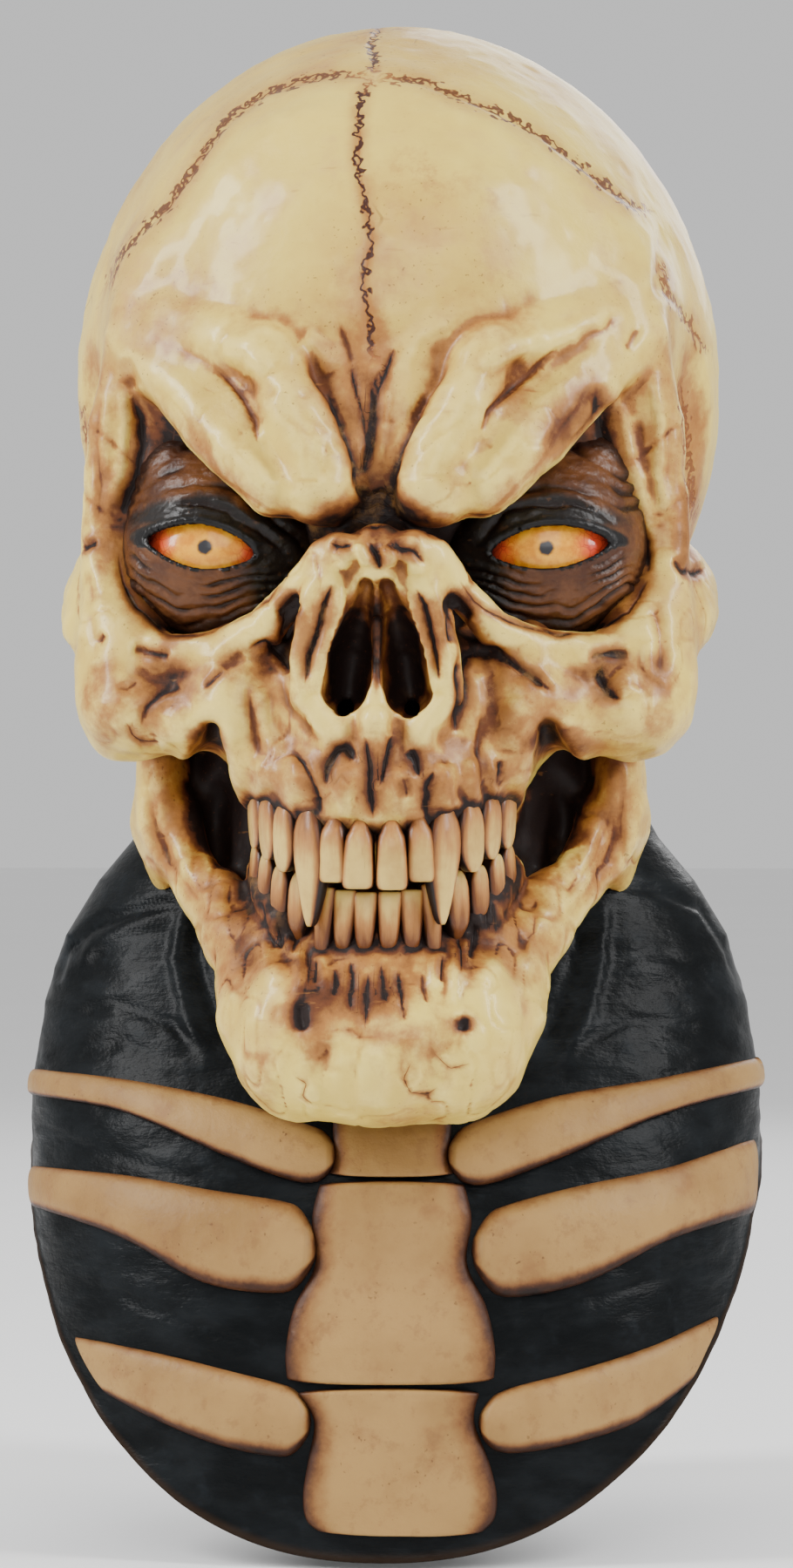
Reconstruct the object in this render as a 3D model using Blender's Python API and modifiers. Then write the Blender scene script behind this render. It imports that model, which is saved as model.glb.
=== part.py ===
"""Over-the-head skull mask in soft latex: a hollow bone-coloured head with teeth, eyes and lids,
and a black neck that widens into a chest bib with ribs and a breastbone in relief.

Metres, +Z up. The face looks along -Y. The origin is on the inside of the crown, where the mask
rests on the wearer's head.
"""

import math
from collections import namedtuple

import bmesh
import bpy
import numpy as np
from mathutils import Matrix, Vector

# Driving sizes of the head, measured over its outside
HEAD_WIDTH = 0.217
HEAD_DEPTH = 0.262
HEAD_HEIGHT = 0.361
SKIN = 0.003

# Driving sizes of the neck and the bib
BIB_WIDTH = 0.242
BIB_FRONT = 0.102
BIB_BACK = 0.110
BIB_DROP = 0.137
BACK_FLAP_DROP = 0.075
BIB_SKIN = 0.0025
COLLAR_FRONT_DROP = 92.0
COLLAR_SIDE_DROP = 62.0
COLLAR_BACK_DROP = 58.0
SHOULDER_DROP = 99.3
ROUNDNESS = 2.3
HEM_SOFTNESS = 0.12

# Eyes, the holes that the wearer looks through and those for breath inside the nose
EYE_DIAMETER = 0.042
EYE_OPENING_WIDTH = 0.036
EYE_OPENING_HEIGHT = 0.0155
VIEW_HOLE_DIAMETER = 0.0055
BREATH_HOLE_DIAMETER = 0.0060

# Teeth: the front of each row follows half an ellipse, whose width is a percentage of the head's
UPPER_ROW_SHARE = 41.5
LOWER_ROW_SHARE = 40.5
ROW_DEPTH = 0.055
TOOTH_THICKNESS = 0.0095
LOWER_ROW_SET_BACK = 0.0075
TOOTH_GAP = 0.0004

# How full a tooth stays towards its tip, where its row's taper takes over
TIP_FULLNESS = 1.3

# Relief on the bib: a rib is lower at its round end and fades out towards the shoulder
RIB_RELIEF = 0.0065
RIB_END_SHARE = 0.3
RIB_END_START = 0.06
RIB_FADE = 0.7
RIB_LAST_TURN = 88.0
BREASTBONE_RELIEF = 0.0055
PLATE_END_SHARE = 0.5

# Clearances between pieces
FIT_GAP = 0.0008
RELIEF_GAP = 0.0009
PASSAGE_GAP = 0.0011
HEM_MARGIN = 0.0012

# Fineness of the meshes
OUTER_STEP = 0.0055
INNER_STEP = 0.009
LID_STEP = 0.004
LONGEST_MOVE = 0.3
OUTER_SHARE = 0.115
INNER_SHARE = 0.13
LID_SHARE = 0.12
BIB_COLUMNS = 36
BIB_ROWS = 11
PASSAGE_ROWS = 8
RIB_STATIONS = 8
RIB_STATION_SPREAD = 1.3
PLATE_ROWS = 5
EYE_SEGMENTS = 16
EYE_RINGS = 10
LID_EDGE_STEPS = 6
HOLE_SIDES = 12
HOLE_REACH = 0.065

ADD = "add"
CUT = "cut"

# Every place and radius in these tables is a percentage. side and radius: of the head's width.
# front: of its depth, from the middle towards the face. drop: of its height, down from the crown.
# wide, deep, high: half sizes of an ellipsoid, of the width, the depth and the height.
# blend: how softly a form runs into what is there, of the width. A form with a side is a pair.
Lump = namedtuple("Lump", "name how side front drop wide deep high blend")
Roll = namedtuple("Roll", "name how points deepness blend")

HEAD_FORMS = (
    Lump("cranium", ADD, 0, -5.5, 33.5, 49.5, 44.5, 33.5, 0),
    Lump("forehead", ADD, 0, 14, 27, 38, 27.5, 20.5, 8),
    Lump("temple", CUT, 48.5, 17, 40, 6, 10, 10, 5),
    Lump("glabella", ADD, 0, 35.5, 41, 15, 8.5, 9, 5),
    Lump("orbit_wall", ADD, 33, 20, 43, 8.5, 9.5, 13, 4),
    Lump("face", ADD, 0, 16, 52.5, 42, 18.5, 15, 6),
    Lump("throat", ADD, 0, 8.5, 73.5, 33, 17.5, 20.5, 7),
    Lump("mastoid", ADD, 33, -3, 59.5, 7.5, 8.5, 6.5, 6),
    Lump("maxilla", ADD, 0, 26.5, 64, 21, 21, 12, 6),
    Lump("nasal", ADD, 0, 40.5, 52.5, 7, 7, 5.5, 4),
    Lump("cheekbone", ADD, 37, 28, 62, 9, 8.5, 7, 4),
    Lump("arch_block", ADD, 42.5, 16, 53.5, 6, 10, 5.5, 2.5),
    Roll("arch", ADD, ((43.5, 23, 56, 4.5), (44, 11.5, 53.5, 4.5), (40.5, -4, 52, 4.5)), 1, 4),
    Lump("socket", CUT, 23, 46, 48.5, 16, 13.5, 8, 2.5),
    Roll("socket_corner", CUT, ((26.5, 42.5, 45, 9), (32.5, 37.5, 39, 4)), 1.2, 2),
    Lump("frontal_corner", ADD, 31.5, 20.5, 29, 9, 9, 8, 8),
    Roll("outer_ridge", ADD, ((36, 26.5, 28.5, 4), (40, 26, 38, 4), (41.5, 25.5, 47.5, 3.5),
                              (40.5, 29, 56, 4)), 1, 4),
    Roll("lower_rim", ADD, ((38.5, 30.5, 57, 3.5), (31.5, 34.5, 59, 3.5), (23, 37.5, 58.5, 3),
                            (16.5, 40.5, 56.5, 3), (12, 42.5, 53.5, 2.5), (8, 45, 50.5, 2.5)), 1, 1.5),
    Roll("brow", ADD, ((9, 42.5, 43, 7), (18.5, 39.5, 39, 6.5), (27.5, 35, 34.5, 5.5),
                       (35.5, 28.5, 29.5, 4)), 1, 3),
    Roll("brow_upper", ADD, ((10, 40.5, 38, 6), (17.5, 38.5, 33.5, 5.5), (23, 36.5, 31, 4)), 1, 6),
    Roll("brow_groove", CUT, ((23, 42.5, 34.5, 1.5), (17, 45, 39.5, 1.5)), 1.5, 3),
    Roll("nose_wall", ADD, ((5.5, 45.5, 50, 3), (8.5, 45, 56, 3), (9.5, 44.5, 62.5, 3),
                            (6, 46, 65.5, 2.5)), 1, 1.5),
    Roll("nose_hole", CUT, ((2.5, 47, 54.5, 1.2), (4, 46, 59, 2.8), (5, 45.5, 63, 3.3)), 2.5, 0.6),
    Lump("spine_knob", ADD, 0, 48, 64.7, 2.5, 2, 1.6, 1),
    Roll("cheek_recess", CUT, ((26.5, 40, 61.5, 2), (20.5, 42, 60.5, 2.5), (15.5, 43.5, 62, 2)), 1.5, 1),
    Roll("cheek_dent", CUT, ((34, 38, 59.5, 1.5), (30.5, 38, 62.5, 1.5)), 1.5, 1.5),
    Lump("upper_gum", ADD, 0, 27, 72.5, 19.5, 20, 6, 3),
    Lump("lower_gum", ADD, 0, 26.5, 84.5, 18.5, 18.5, 5.5, 3),
    Roll("molar_gum", ADD, ((17.5, 29, 78, 3), (16.5, 34, 79.5, 3), (14, 38, 82, 3)), 1, 2),
    Lump("ramus", ADD, 34, 13, 70.5, 4.5, 8.5, 9.5, 3),
    Roll("jaw", ADD, ((34, 14.5, 73.5, 4.5), (29.5, 19, 77.5, 4.5), (24, 26, 81.5, 5),
                      (19.5, 33, 85.5, 5.5), (17.5, 37.5, 90, 6.5)), 1, 3),
    Lump("chin", ADD, 0, 42, 92.3, 15.5, 10, 7.6, 4),
    Lump("chin_side", ADD, 11, 40.5, 92, 11, 9.5, 7.5, 3),
    Lump("chin_floor", ADD, 0, 30, 89, 18, 11, 6.5, 6),
    Lump("jaw_hollow", CUT, 26, 28, 73.5, 5, 12, 6.5, 2),
)

# Flesh of the eyelids, over the eye and out to the corner of the socket
LID_FORMS = (
    Lump("lid_over_eye", ADD, 24.2, 30.5, 49.4, 12, 9, 6.2, 0),
    Lump("lid_skirt", ADD, 24.4, 31.3, 48.6, 15.5, 5.5, 7.6, 4),
    Roll("lid_corner", ADD, ((27, 31, 46, 6), (31.5, 31, 41.5, 3.5)), 1, 4),
)

# Places on the face: side, front and drop
EYE_PLACE = (24.4, 30.2, 49.6)
VIEW_HOLE_PLACE = (13.0, 38.0, 49.7)
BREATH_HOLE_PLACE = (4.8, 40.0, 63.5)
TEETH_FRONT = 48.7

# Corners of the blocks of space that hold the head and one eye's lids: side, front and drop
HEAD_LOW_CORNER = (-62, 60, 108)
HEAD_HIGH_CORNER = (62, -60, -6)
LIDS_LOW_CORNER = (2, 50, 62)
LIDS_HIGH_CORNER = (46, 15, 36)

# Sections of the neck and the bib. drop: percentage of the head's height below the crown, and past
# the chin of the bib's drop below it. wide, front, back: of half the bib's width and of the bib's
# reach to the front and to the back.
Section = namedtuple("Section", "from_chin drop wide front back")

NECK_SECTIONS = (
    Section(False, 55, 50, 42, 76),
    Section(False, 62, 56, 46, 80),
    Section(False, 70, 64, 48, 84),
    Section(False, 75, 72, 49, 87),
    Section(False, 79, 82, 52, 90),
    Section(False, 84, 91, 56, 93),
    Section(False, 90, 96.5, 64, 96),
    Section(False, 97, 99.5, 76, 98),
    Section(True, 2, 100, 83, 99),
    Section(True, 20, 100, 92, 100),
    Section(True, 50, 100, 98, 100),
    Section(True, 101, 99, 100, 100),
)

# Teeth of one side. middle, wide: of half the row's width. gum, tip: drop as above.
# taper: how wide the tip is, of the tooth's widest part.
Tooth = namedtuple("Tooth", "name middle wide gum tip taper")

UPPER_TEETH = (
    Tooth("central_incisor", 12.0, 21.0, 73.0, 78.8, 0.85),
    Tooth("lateral_incisor", 32.0, 17.5, 72.6, 78.2, 0.75),
    Tooth("canine", 52.5, 18.5, 71.6, 82.0, 0.25),
    Tooth("first_premolar", 68.5, 13.5, 71.2, 77.0, 0.70),
    Tooth("second_premolar", 81.5, 11.5, 70.6, 75.8, 0.75),
    Tooth("molar", 92.0, 8.5, 69.6, 74.6, 0.80),
)
LOWER_TEETH = (
    Tooth("central_incisor", 9.2, 17.0, 84.2, 79.6, 0.90),
    Tooth("lateral_incisor", 26.2, 16.5, 84.2, 79.6, 0.90),
    Tooth("canine", 41.3, 13.0, 85.0, 79.2, 0.80),
    Tooth("first_premolar", 63.0, 14.0, 82.6, 78.2, 0.60),
    Tooth("second_premolar", 76.0, 11.5, 81.4, 77.4, 0.60),
    Tooth("first_molar", 86.8, 9.0, 80.0, 76.2, 0.70),
    Tooth("second_molar", 95.2, 6.8, 78.8, 75.2, 0.75),
)

# Ribs of one side. inner: the round end, of half the bib's width. upper and lower edges at the
# inner end, half way and at the hem, as drops from the chin in percent of the bib's drop.
Rib = namedtuple("Rib", "inner inner_upper mid_upper outer_upper inner_lower mid_lower outer_lower")

RIBS = (
    Rib(14.5, -3, -9.5, -10.5, 13, 2, -4.5),
    Rib(20.0, 20.5, 14.5, 11, 37.5, 31, 24),
    Rib(21.5, 61, 51, 47.5, 74, 66.5, 57.5),
)

# Plates of the breastbone. top, bottom: drop from the chin, of the bib's drop. widths: the half
# widths from the top down at even steps, of half the bib's width.
Plate = namedtuple("Plate", "name top bottom widths")

BREASTBONE = (
    Plate("breastbone_top", -2, 12, (12.5, 13.2, 13.2, 13.2, 12.5)),
    Plate("breastbone_middle", 13.4, 58.6, (17.0, 18.2, 19.0, 25.0, 25.5)),
    Plate("breastbone_lower", 60, 93.5, (20.0, 18.5, 20.0, 24.0, 17.0)),
)


def at(side, front, drop):
    """The point in metres that a row's percentages name."""
    return np.array((
        side * HEAD_WIDTH / 100,
        front * -HEAD_DEPTH / 100,
        SKIN - drop * HEAD_HEIGHT / 100,
    ))


def height_at(drop):
    return SKIN - drop * HEAD_HEIGHT / 100


CHIN_Z = height_at(100)


def lump_distance(form, points):
    """How far each point is outside an ellipsoid, nearly exact close to its surface."""
    half = np.array((form.wide * HEAD_WIDTH, form.deep * HEAD_DEPTH, form.high * HEAD_HEIGHT)) / 100
    offset = points - at(form.side, form.front, form.drop)
    scaled = np.sqrt(((offset / half) ** 2).sum(axis=1))
    steepness = np.sqrt(((offset / half**2) ** 2).sum(axis=1))
    return scaled * (scaled - 1) / np.maximum(steepness, 1e-6)


def roll_distance(form, points):
    """How far each point is outside a chain of tapered round bars."""
    squeeze = np.array((1, 1 / form.deepness, 1))
    stops = [at(*stop[:3]) * squeeze for stop in form.points]
    radii = [stop[3] * HEAD_WIDTH / 100 for stop in form.points]
    squeezed = points * squeeze
    nearest = np.full(len(points), np.inf)
    for start, end, start_radius, end_radius in zip(stops, stops[1:], radii, radii[1:]):
        along = end - start
        share = np.clip((squeezed - start) @ along / (along @ along), 0, 1)
        gap = np.linalg.norm(squeezed - start - share[:, None] * along, axis=1)
        nearest = np.minimum(nearest, gap - start_radius - share * (end_radius - start_radius))
    return nearest


def is_pair(form):
    if isinstance(form, Lump):
        return form.side > 0
    return any(stop[0] > 0 for stop in form.points)


def forms_distance(forms, points):
    """The distance outside the skin that a table of forms makes, each taken in its turn."""
    mirrored = np.abs(points * (1, 0, 0)) + points * (0, 1, 1)
    total = None
    for form in forms:
        measure = lump_distance if isinstance(form, Lump) else roll_distance
        distance = measure(form, mirrored if is_pair(form) else points)
        if total is None:
            total = distance
            continue
        blend = max(form.blend * HEAD_WIDTH / 100, 1e-5)
        sign = 1 if form.how == ADD else -1
        mix = np.clip(0.5 + 0.5 * (total - sign * distance) * sign / blend, 0, 1)
        total = total + mix * (sign * distance - total) - sign * blend * mix * (1 - mix)
    return total


def head_distance(points):
    return forms_distance(HEAD_FORMS, points)


def hollow_distance(points):
    return forms_distance(HEAD_FORMS, points) + SKIN


def lid_distance(points):
    return forms_distance(LID_FORMS, points)


def gradient_of(distance, points, reach=0.0005):
    """The slope of a distance function at each point."""
    slopes = []
    for axis in np.eye(3) * reach:
        slopes.append((distance(points + axis) - distance(points - axis)) / (2 * reach))
    return np.stack(slopes, axis=1)


def untangle(values, touch=1e-6):
    """Fills the grid corners that would let two sheets of a surface meet along one edge: those where
    a grid square has its two inside corners on a diagonal."""
    tangled = True
    while tangled:
        tangled = False
        for first, second in ((0, 1), (1, 2), (0, 2)):
            near = [slice(None)] * 3
            near[first], near[second] = slice(None, -1), slice(None, -1)
            squares = {}
            for i, j in ((0, 0), (1, 0), (0, 1), (1, 1)):
                part_of = list(near)
                part_of[first] = slice(1, None) if i else slice(None, -1)
                part_of[second] = slice(1, None) if j else slice(None, -1)
                squares[i, j] = values[tuple(part_of)]
            inside = {corner: square < 0 for corner, square in squares.items()}
            crossing = (inside[0, 0] == inside[1, 1]) & (inside[1, 0] == inside[0, 1])
            crossing &= inside[0, 0] != inside[1, 0]
            tangled = tangled or bool(crossing.any())
            squares[0, 0][crossing & ~inside[0, 0]] = -touch
            squares[1, 0][crossing & inside[0, 0]] = -touch


def net_mesh(name, distance, low, high, step):
    """A closed mesh where a distance function is zero: one point in each grid cell that the
    surface crosses, joined across each grid edge that it crosses."""
    low, high = np.minimum(low, high), np.maximum(low, high)
    counts = np.ceil((high - low) / step).astype(int) + 1
    axes = [low[i] + step * np.arange(counts[i]) for i in range(3)]
    grid = np.stack(np.meshgrid(*axes, indexing="ij"), axis=-1).reshape(-1, 3)
    values = distance(grid).reshape(counts)
    untangle(values)

    corners = np.array([(i, j, k) for i in (0, 1) for j in (0, 1) for k in (0, 1)])
    cells = counts - 1
    inside_corners = sum(
        (values[i:i + cells[0], j:j + cells[1], k:k + cells[2]] < 0).astype(int) for i, j, k in corners
    )
    crossed = np.argwhere((inside_corners > 0) & (inside_corners < 8))
    number = np.full(cells, -1)
    number[tuple(crossed.T)] = np.arange(len(crossed))

    place_sum = np.zeros((len(crossed), 3))
    hits = np.zeros(len(crossed))
    for axis in range(3):
        unit = np.eye(3, dtype=int)[axis]
        for corner in corners[corners[:, axis] == 0]:
            near = values[tuple((crossed + corner).T)]
            far = values[tuple((crossed + corner + unit).T)]
            cuts = (near < 0) != (far < 0)
            share = np.where(cuts, near / np.where(cuts, near - far, 1), 0)
            place_sum += cuts[:, None] * (corner + share[:, None] * unit)
            hits += cuts
    points = low + step * (crossed + place_sum / hits[:, None])

    faces = []
    for axis in range(3):
        unit = np.eye(3, dtype=int)[axis]
        side, other = np.eye(3, dtype=int)[(axis + 1) % 3], np.eye(3, dtype=int)[(axis + 2) % 3]
        starts = np.argwhere(np.diff((values < 0).astype(int), axis=axis) != 0)
        ring = [starts - side - other, starts - other, starts, starts - side]
        quad = np.stack([number[tuple(cell.T)] for cell in ring], axis=1)
        leaving = values[tuple(starts.T)] < 0
        quad[~leaving] = quad[~leaving][:, ::-1]
        faces.append(quad)
    faces = np.concatenate(faces)

    slope = gradient_of(distance, points)
    move = -slope * (distance(points) / np.maximum((slope**2).sum(axis=1), 0.05))[:, None]
    length = np.maximum(np.linalg.norm(move, axis=1), 1e-9)
    points = points + move * np.minimum(1, LONGEST_MOVE * step / length)[:, None]
    mesh = bpy.data.meshes.new(name)
    mesh.from_pydata(points.tolist(), [], faces.tolist())
    return mesh


def keep_largest(mesh):
    """Drops the small closed shells that a hollow leaves in thick bone, so that it is one room."""
    shape = bmesh.new()
    shape.from_mesh(mesh)
    waiting = set(shape.verts)
    largest = set()
    while waiting:
        piece = {waiting.pop()}
        edge_of_piece = set(piece)
        while edge_of_piece:
            near = {edge.other_vert(vert) for vert in edge_of_piece for edge in vert.link_edges}
            edge_of_piece = near - piece
            piece |= edge_of_piece
        waiting -= piece
        largest = max(largest, piece, key=len)
    bmesh.ops.delete(shape, geom=[vert for vert in shape.verts if vert not in largest], context="VERTS")
    shape.to_mesh(mesh)
    shape.free()
    return mesh


def make_material(name, colour, roughness, metallic=0.0):
    material = bpy.data.materials.new(name)
    material.use_nodes = True
    shader = material.node_tree.nodes["Principled BSDF"]
    shader.inputs["Base Color"].default_value = (*colour, 1)
    shader.inputs["Roughness"].default_value = roughness
    shader.inputs["Metallic"].default_value = metallic
    material.diffuse_color = (*colour, 1)
    return material


def add_object(name, mesh, material, collection, smooth=True):
    obj = bpy.data.objects.new(name, mesh)
    collection.objects.link(obj)
    if material:
        mesh.materials.append(material)
    if smooth:
        mesh.shade_smooth()
    return obj


def add_cutter(name, mesh):
    obj = add_object(name, mesh, None, cutters, smooth=False)
    obj.hide_render = True
    obj.display_type = "WIRE"
    return obj


def cut_away(obj, cutter):
    """Takes the cutter out of a piece. The grown meshes fold a little, which EXACT can't take."""
    modifier = obj.modifiers.new(f"less {cutter.name}", "BOOLEAN")
    modifier.operation = "DIFFERENCE"
    modifier.solver = "MANIFOLD"
    modifier.object = cutter
    return modifier


def thin_out(obj, share):
    modifier = obj.modifiers.new("Fewer faces", "DECIMATE")
    modifier.ratio = share
    return modifier


def ring_mesh(name, rings):
    """A closed mesh through rings of equally many points, each end closed by one flat face."""
    shape = bmesh.new()
    loops = [[shape.verts.new(point) for point in ring] for ring in rings]
    count = len(loops[0])
    for first, second in zip(loops, loops[1:]):
        for i in range(count):
            j = (i + 1) % count
            shape.faces.new((first[i], first[j], second[j], second[i]))
    shape.faces.new(loops[0][::-1])
    shape.faces.new(loops[-1])
    bmesh.ops.recalc_face_normals(shape, faces=shape.faces)
    mesh = bpy.data.meshes.new(name)
    shape.to_mesh(mesh)
    shape.free()
    return mesh


def section_height(section):
    if section.from_chin:
        return CHIN_Z - section.drop * BIB_DROP / 100
    return height_at(section.drop)


SECTION_HEIGHTS = [section_height(section) for section in NECK_SECTIONS][::-1]


def neck_sizes(z):
    """Half the width, the reach to the front and the reach to the back at a height."""
    columns = (
        (BIB_WIDTH / 2, [section.wide for section in NECK_SECTIONS]),
        (BIB_FRONT, [section.front for section in NECK_SECTIONS]),
        (BIB_BACK, [section.back for section in NECK_SECTIONS]),
    )
    return [size * np.interp(z, SECTION_HEIGHTS, shares[::-1]) / 100 for size, shares in columns]


def neck_point(turn, z, proud=0.0):
    """A point on the neck or bib. turn is 0 at the front middle and positive towards +X."""
    wide, front, back = neck_sizes(z)
    power = 2 / ROUNDNESS
    sine, cosine = math.sin(turn), math.cos(turn)
    reach = front if cosine > 0 else back
    x = math.copysign(abs(sine) ** power, sine) * (wide + proud)
    y = -math.copysign(abs(cosine) ** power, cosine) * (reach + proud)
    return Vector((x, y, z))


def turn_at(x, z):
    """The turn on the front of the bib whose point has this x."""
    share = min(abs(x) / neck_sizes(z)[0], 1.0)
    return math.copysign(math.asin(share ** (ROUNDNESS / 2)), x)


def hem_height(turn):
    """The hem rises from the point of the bib to the shoulders and falls again at the back."""
    cosine = math.cos(turn)
    drop = BIB_DROP if cosine > 0 else BACK_FLAP_DROP
    lift = math.sqrt(cosine**2 + HEM_SOFTNESS**2) / math.sqrt(1 + HEM_SOFTNESS**2)
    shoulder = height_at(SHOULDER_DROP)
    return shoulder - (drop + shoulder - CHIN_Z) * lift


def collar_height(turn):
    share = (1 - math.cos(turn)) / 2
    return height_at(through_three(COLLAR_FRONT_DROP, COLLAR_SIDE_DROP, COLLAR_BACK_DROP, share))


def neck_turns():
    return [2 * math.pi * step / BIB_COLUMNS for step in range(BIB_COLUMNS)]


def neck_heights(turn):
    """The rows of one column of the neck's mesh, from the collar down to the hem."""
    top, bottom = collar_height(turn), hem_height(turn)
    return [top + (bottom - top) * row / BIB_ROWS for row in range(BIB_ROWS + 1)]


def make_neck_bib():
    """One open sheet from the collar inside the head down to the hem, thickened inwards."""
    shape = bmesh.new()
    columns = []
    for turn in neck_turns():
        columns.append([shape.verts.new(neck_point(turn, z)) for z in neck_heights(turn)])
    for column, following in zip(columns, columns[1:] + columns[:1]):
        for row in range(BIB_ROWS):
            shape.faces.new((column[row], column[row + 1], following[row + 1], following[row]))
    bmesh.ops.recalc_face_normals(shape, faces=shape.faces)
    mesh = bpy.data.meshes.new("neck_bib")
    shape.to_mesh(mesh)
    shape.free()
    bib = add_object("neck_bib", mesh, black_latex, parts)
    thickness = bib.modifiers.new("Latex wall", "SOLIDIFY")
    thickness.thickness = BIB_SKIN
    thickness.offset = -1
    thickness.use_even_offset = True
    return bib


def passage_heights(turn):
    """The same rows as the neck's, carried on from the collar up to the highest section."""
    rows = neck_heights(turn)
    top = SECTION_HEIGHTS[-1]
    above = [top + (rows[0] - top) * row / PASSAGE_ROWS for row in range(PASSAGE_ROWS)]
    return above + rows


def neck_passage_mesh():
    """The room that the neck takes out of the head, with its clearance all round."""
    columns = [[neck_point(turn, z, PASSAGE_GAP) for z in passage_heights(turn)]
               for turn in neck_turns()]
    return ring_mesh("neck_passage", list(zip(*columns)))


def settle(obj):
    """Gives a piece the mesh that its modifiers make, without the crumbs that cutting leaves."""
    graph = bpy.context.evaluated_depsgraph_get()
    mesh = keep_largest(bpy.data.meshes.new_from_object(obj.evaluated_get(graph)))
    obj.modifiers.clear()
    obj.data = mesh


def make_head():
    """The hollow skull: its grown skin less its hollow and the passage for the neck."""
    low, high = at(*HEAD_LOW_CORNER), at(*HEAD_HIGH_CORNER)
    head = add_object("head_skin", net_mesh("head_skin", head_distance, low, high, OUTER_STEP),
                      bone_latex, parts)
    thin_out(head, OUTER_SHARE)
    room = keep_largest(net_mesh("head_hollow", hollow_distance, low, high, INNER_STEP))
    hollow = add_cutter("head_hollow", room)
    thin_out(hollow, INNER_SHARE)
    cut_away(head, hollow)
    cut_away(head, add_cutter("neck_passage", neck_passage_mesh()))
    return head


def make_head_outside(head):
    """The head's outside as one solid, grown by the clearance: what sits on the face is cut by it."""
    outside = add_cutter("head_outside", head.data.copy())
    thin_out(outside, OUTER_SHARE)
    growth = outside.modifiers.new("Clearance", "DISPLACE")
    growth.strength = FIT_GAP
    growth.mid_level = 0
    return outside


def hand_of(side):
    """The wearer's left is at +X, because the face looks along -Y."""
    return "left" if side > 0 else "right"


def face_point(place, side):
    x, y, z = at(*place)
    return Vector((side * x, y, z))


def add_hole_cutter(name, place, side, diameter):
    """A round bar along Y through the skin of the face."""
    bpy.ops.mesh.primitive_cylinder_add(vertices=HOLE_SIDES, radius=diameter / 2, depth=HOLE_REACH,
                                        location=face_point(place, side), rotation=(math.pi / 2, 0, 0))
    bar = bpy.context.object
    bar.name = f"{name}_{hand_of(side)}"
    for collection in list(bar.users_collection):
        collection.objects.unlink(bar)
    cutters.objects.link(bar)
    bar.hide_render = True
    bar.display_type = "WIRE"
    return bar


def ball_mesh(name, centre, radius):
    shape = bmesh.new()
    bmesh.ops.create_uvsphere(shape, u_segments=EYE_SEGMENTS, v_segments=EYE_RINGS, radius=radius)
    bmesh.ops.translate(shape, verts=shape.verts, vec=centre)
    mesh = bpy.data.meshes.new(name)
    shape.to_mesh(mesh)
    shape.free()
    return mesh


def almond_mesh(name, centre):
    """The opening between the lids: two arcs that meet in points, run through along Y."""
    corners = []
    for direction in (1, -1):
        for step in range(LID_EDGE_STEPS):
            share = direction * (1 - 2 * step / LID_EDGE_STEPS)
            height = direction * EYE_OPENING_HEIGHT / 2 * (1 - share**2)
            corners.append(Vector((share * EYE_OPENING_WIDTH / 2, 0, height)))
    reach = Vector((0, EYE_DIAMETER, 0))
    rings = [[centre + corner - reach for corner in corners], [centre + corner for corner in corners]]
    return ring_mesh(name, rings)


def make_eye_and_lids(side, outside, view_hole):
    """An eyeball and, round it, the flesh of both lids with the opening between them."""
    hand = hand_of(side)
    centre = face_point(EYE_PLACE, side)
    eye = add_object(f"eye_{hand}", ball_mesh("eye", centre, EYE_DIAMETER / 2), eye_paint, parts)
    cut_away(eye, outside)

    low, high = at(*LIDS_LOW_CORNER), at(*LIDS_HIGH_CORNER)
    lid_mesh = net_mesh(f"eyelids_{hand}", lid_distance, low, high, LID_STEP)
    if side < 0:
        lid_mesh.transform(Matrix.Scale(-1, 4, Vector((1, 0, 0))))
        lid_mesh.flip_normals()
    lids = add_object(f"eyelids_{hand}", lid_mesh, dark_flesh, parts)
    thin_out(lids, LID_SHARE)
    grown_eye = ball_mesh("eye_room", centre, EYE_DIAMETER / 2 + FIT_GAP)
    cut_away(lids, outside)
    cut_away(lids, add_cutter(f"eye_room_{hand}", grown_eye))
    cut_away(lids, add_cutter(f"lid_opening_{hand}", almond_mesh("lid_opening", centre)))
    cut_away(lids, view_hole)
    return eye, lids


# A tooth's cross-section from above: along the row and outwards from its middle, as shares of its
# width and its thickness. It narrows towards the back, where its neighbours come close.
TOOTH_SECTION = ((-0.30, 0), (0.30, 0), (0.50, -0.16), (0.40, -0.6), (0.22, -1), (-0.22, -1),
                 (-0.40, -0.6), (-0.50, -0.16))

# The same tooth from the root to the tip. height: from the gum end. wide, thick: of its belly.
# set_back: of its thickness. At the tip the row's own taper is used for the width.
ToothRing = namedtuple("ToothRing", "height wide thick set_back")
TOOTH_RINGS = (
    ToothRing(-0.25, 0.62, 0.80, 0.25),
    ToothRing(0.0, 0.82, 0.90, 0.08),
    ToothRing(0.30, 1.0, 1.0, 0.0),
    ToothRing(0.75, None, 0.60, 0.05),
    ToothRing(1.0, None, 0.34, 0.10),
)


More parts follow.
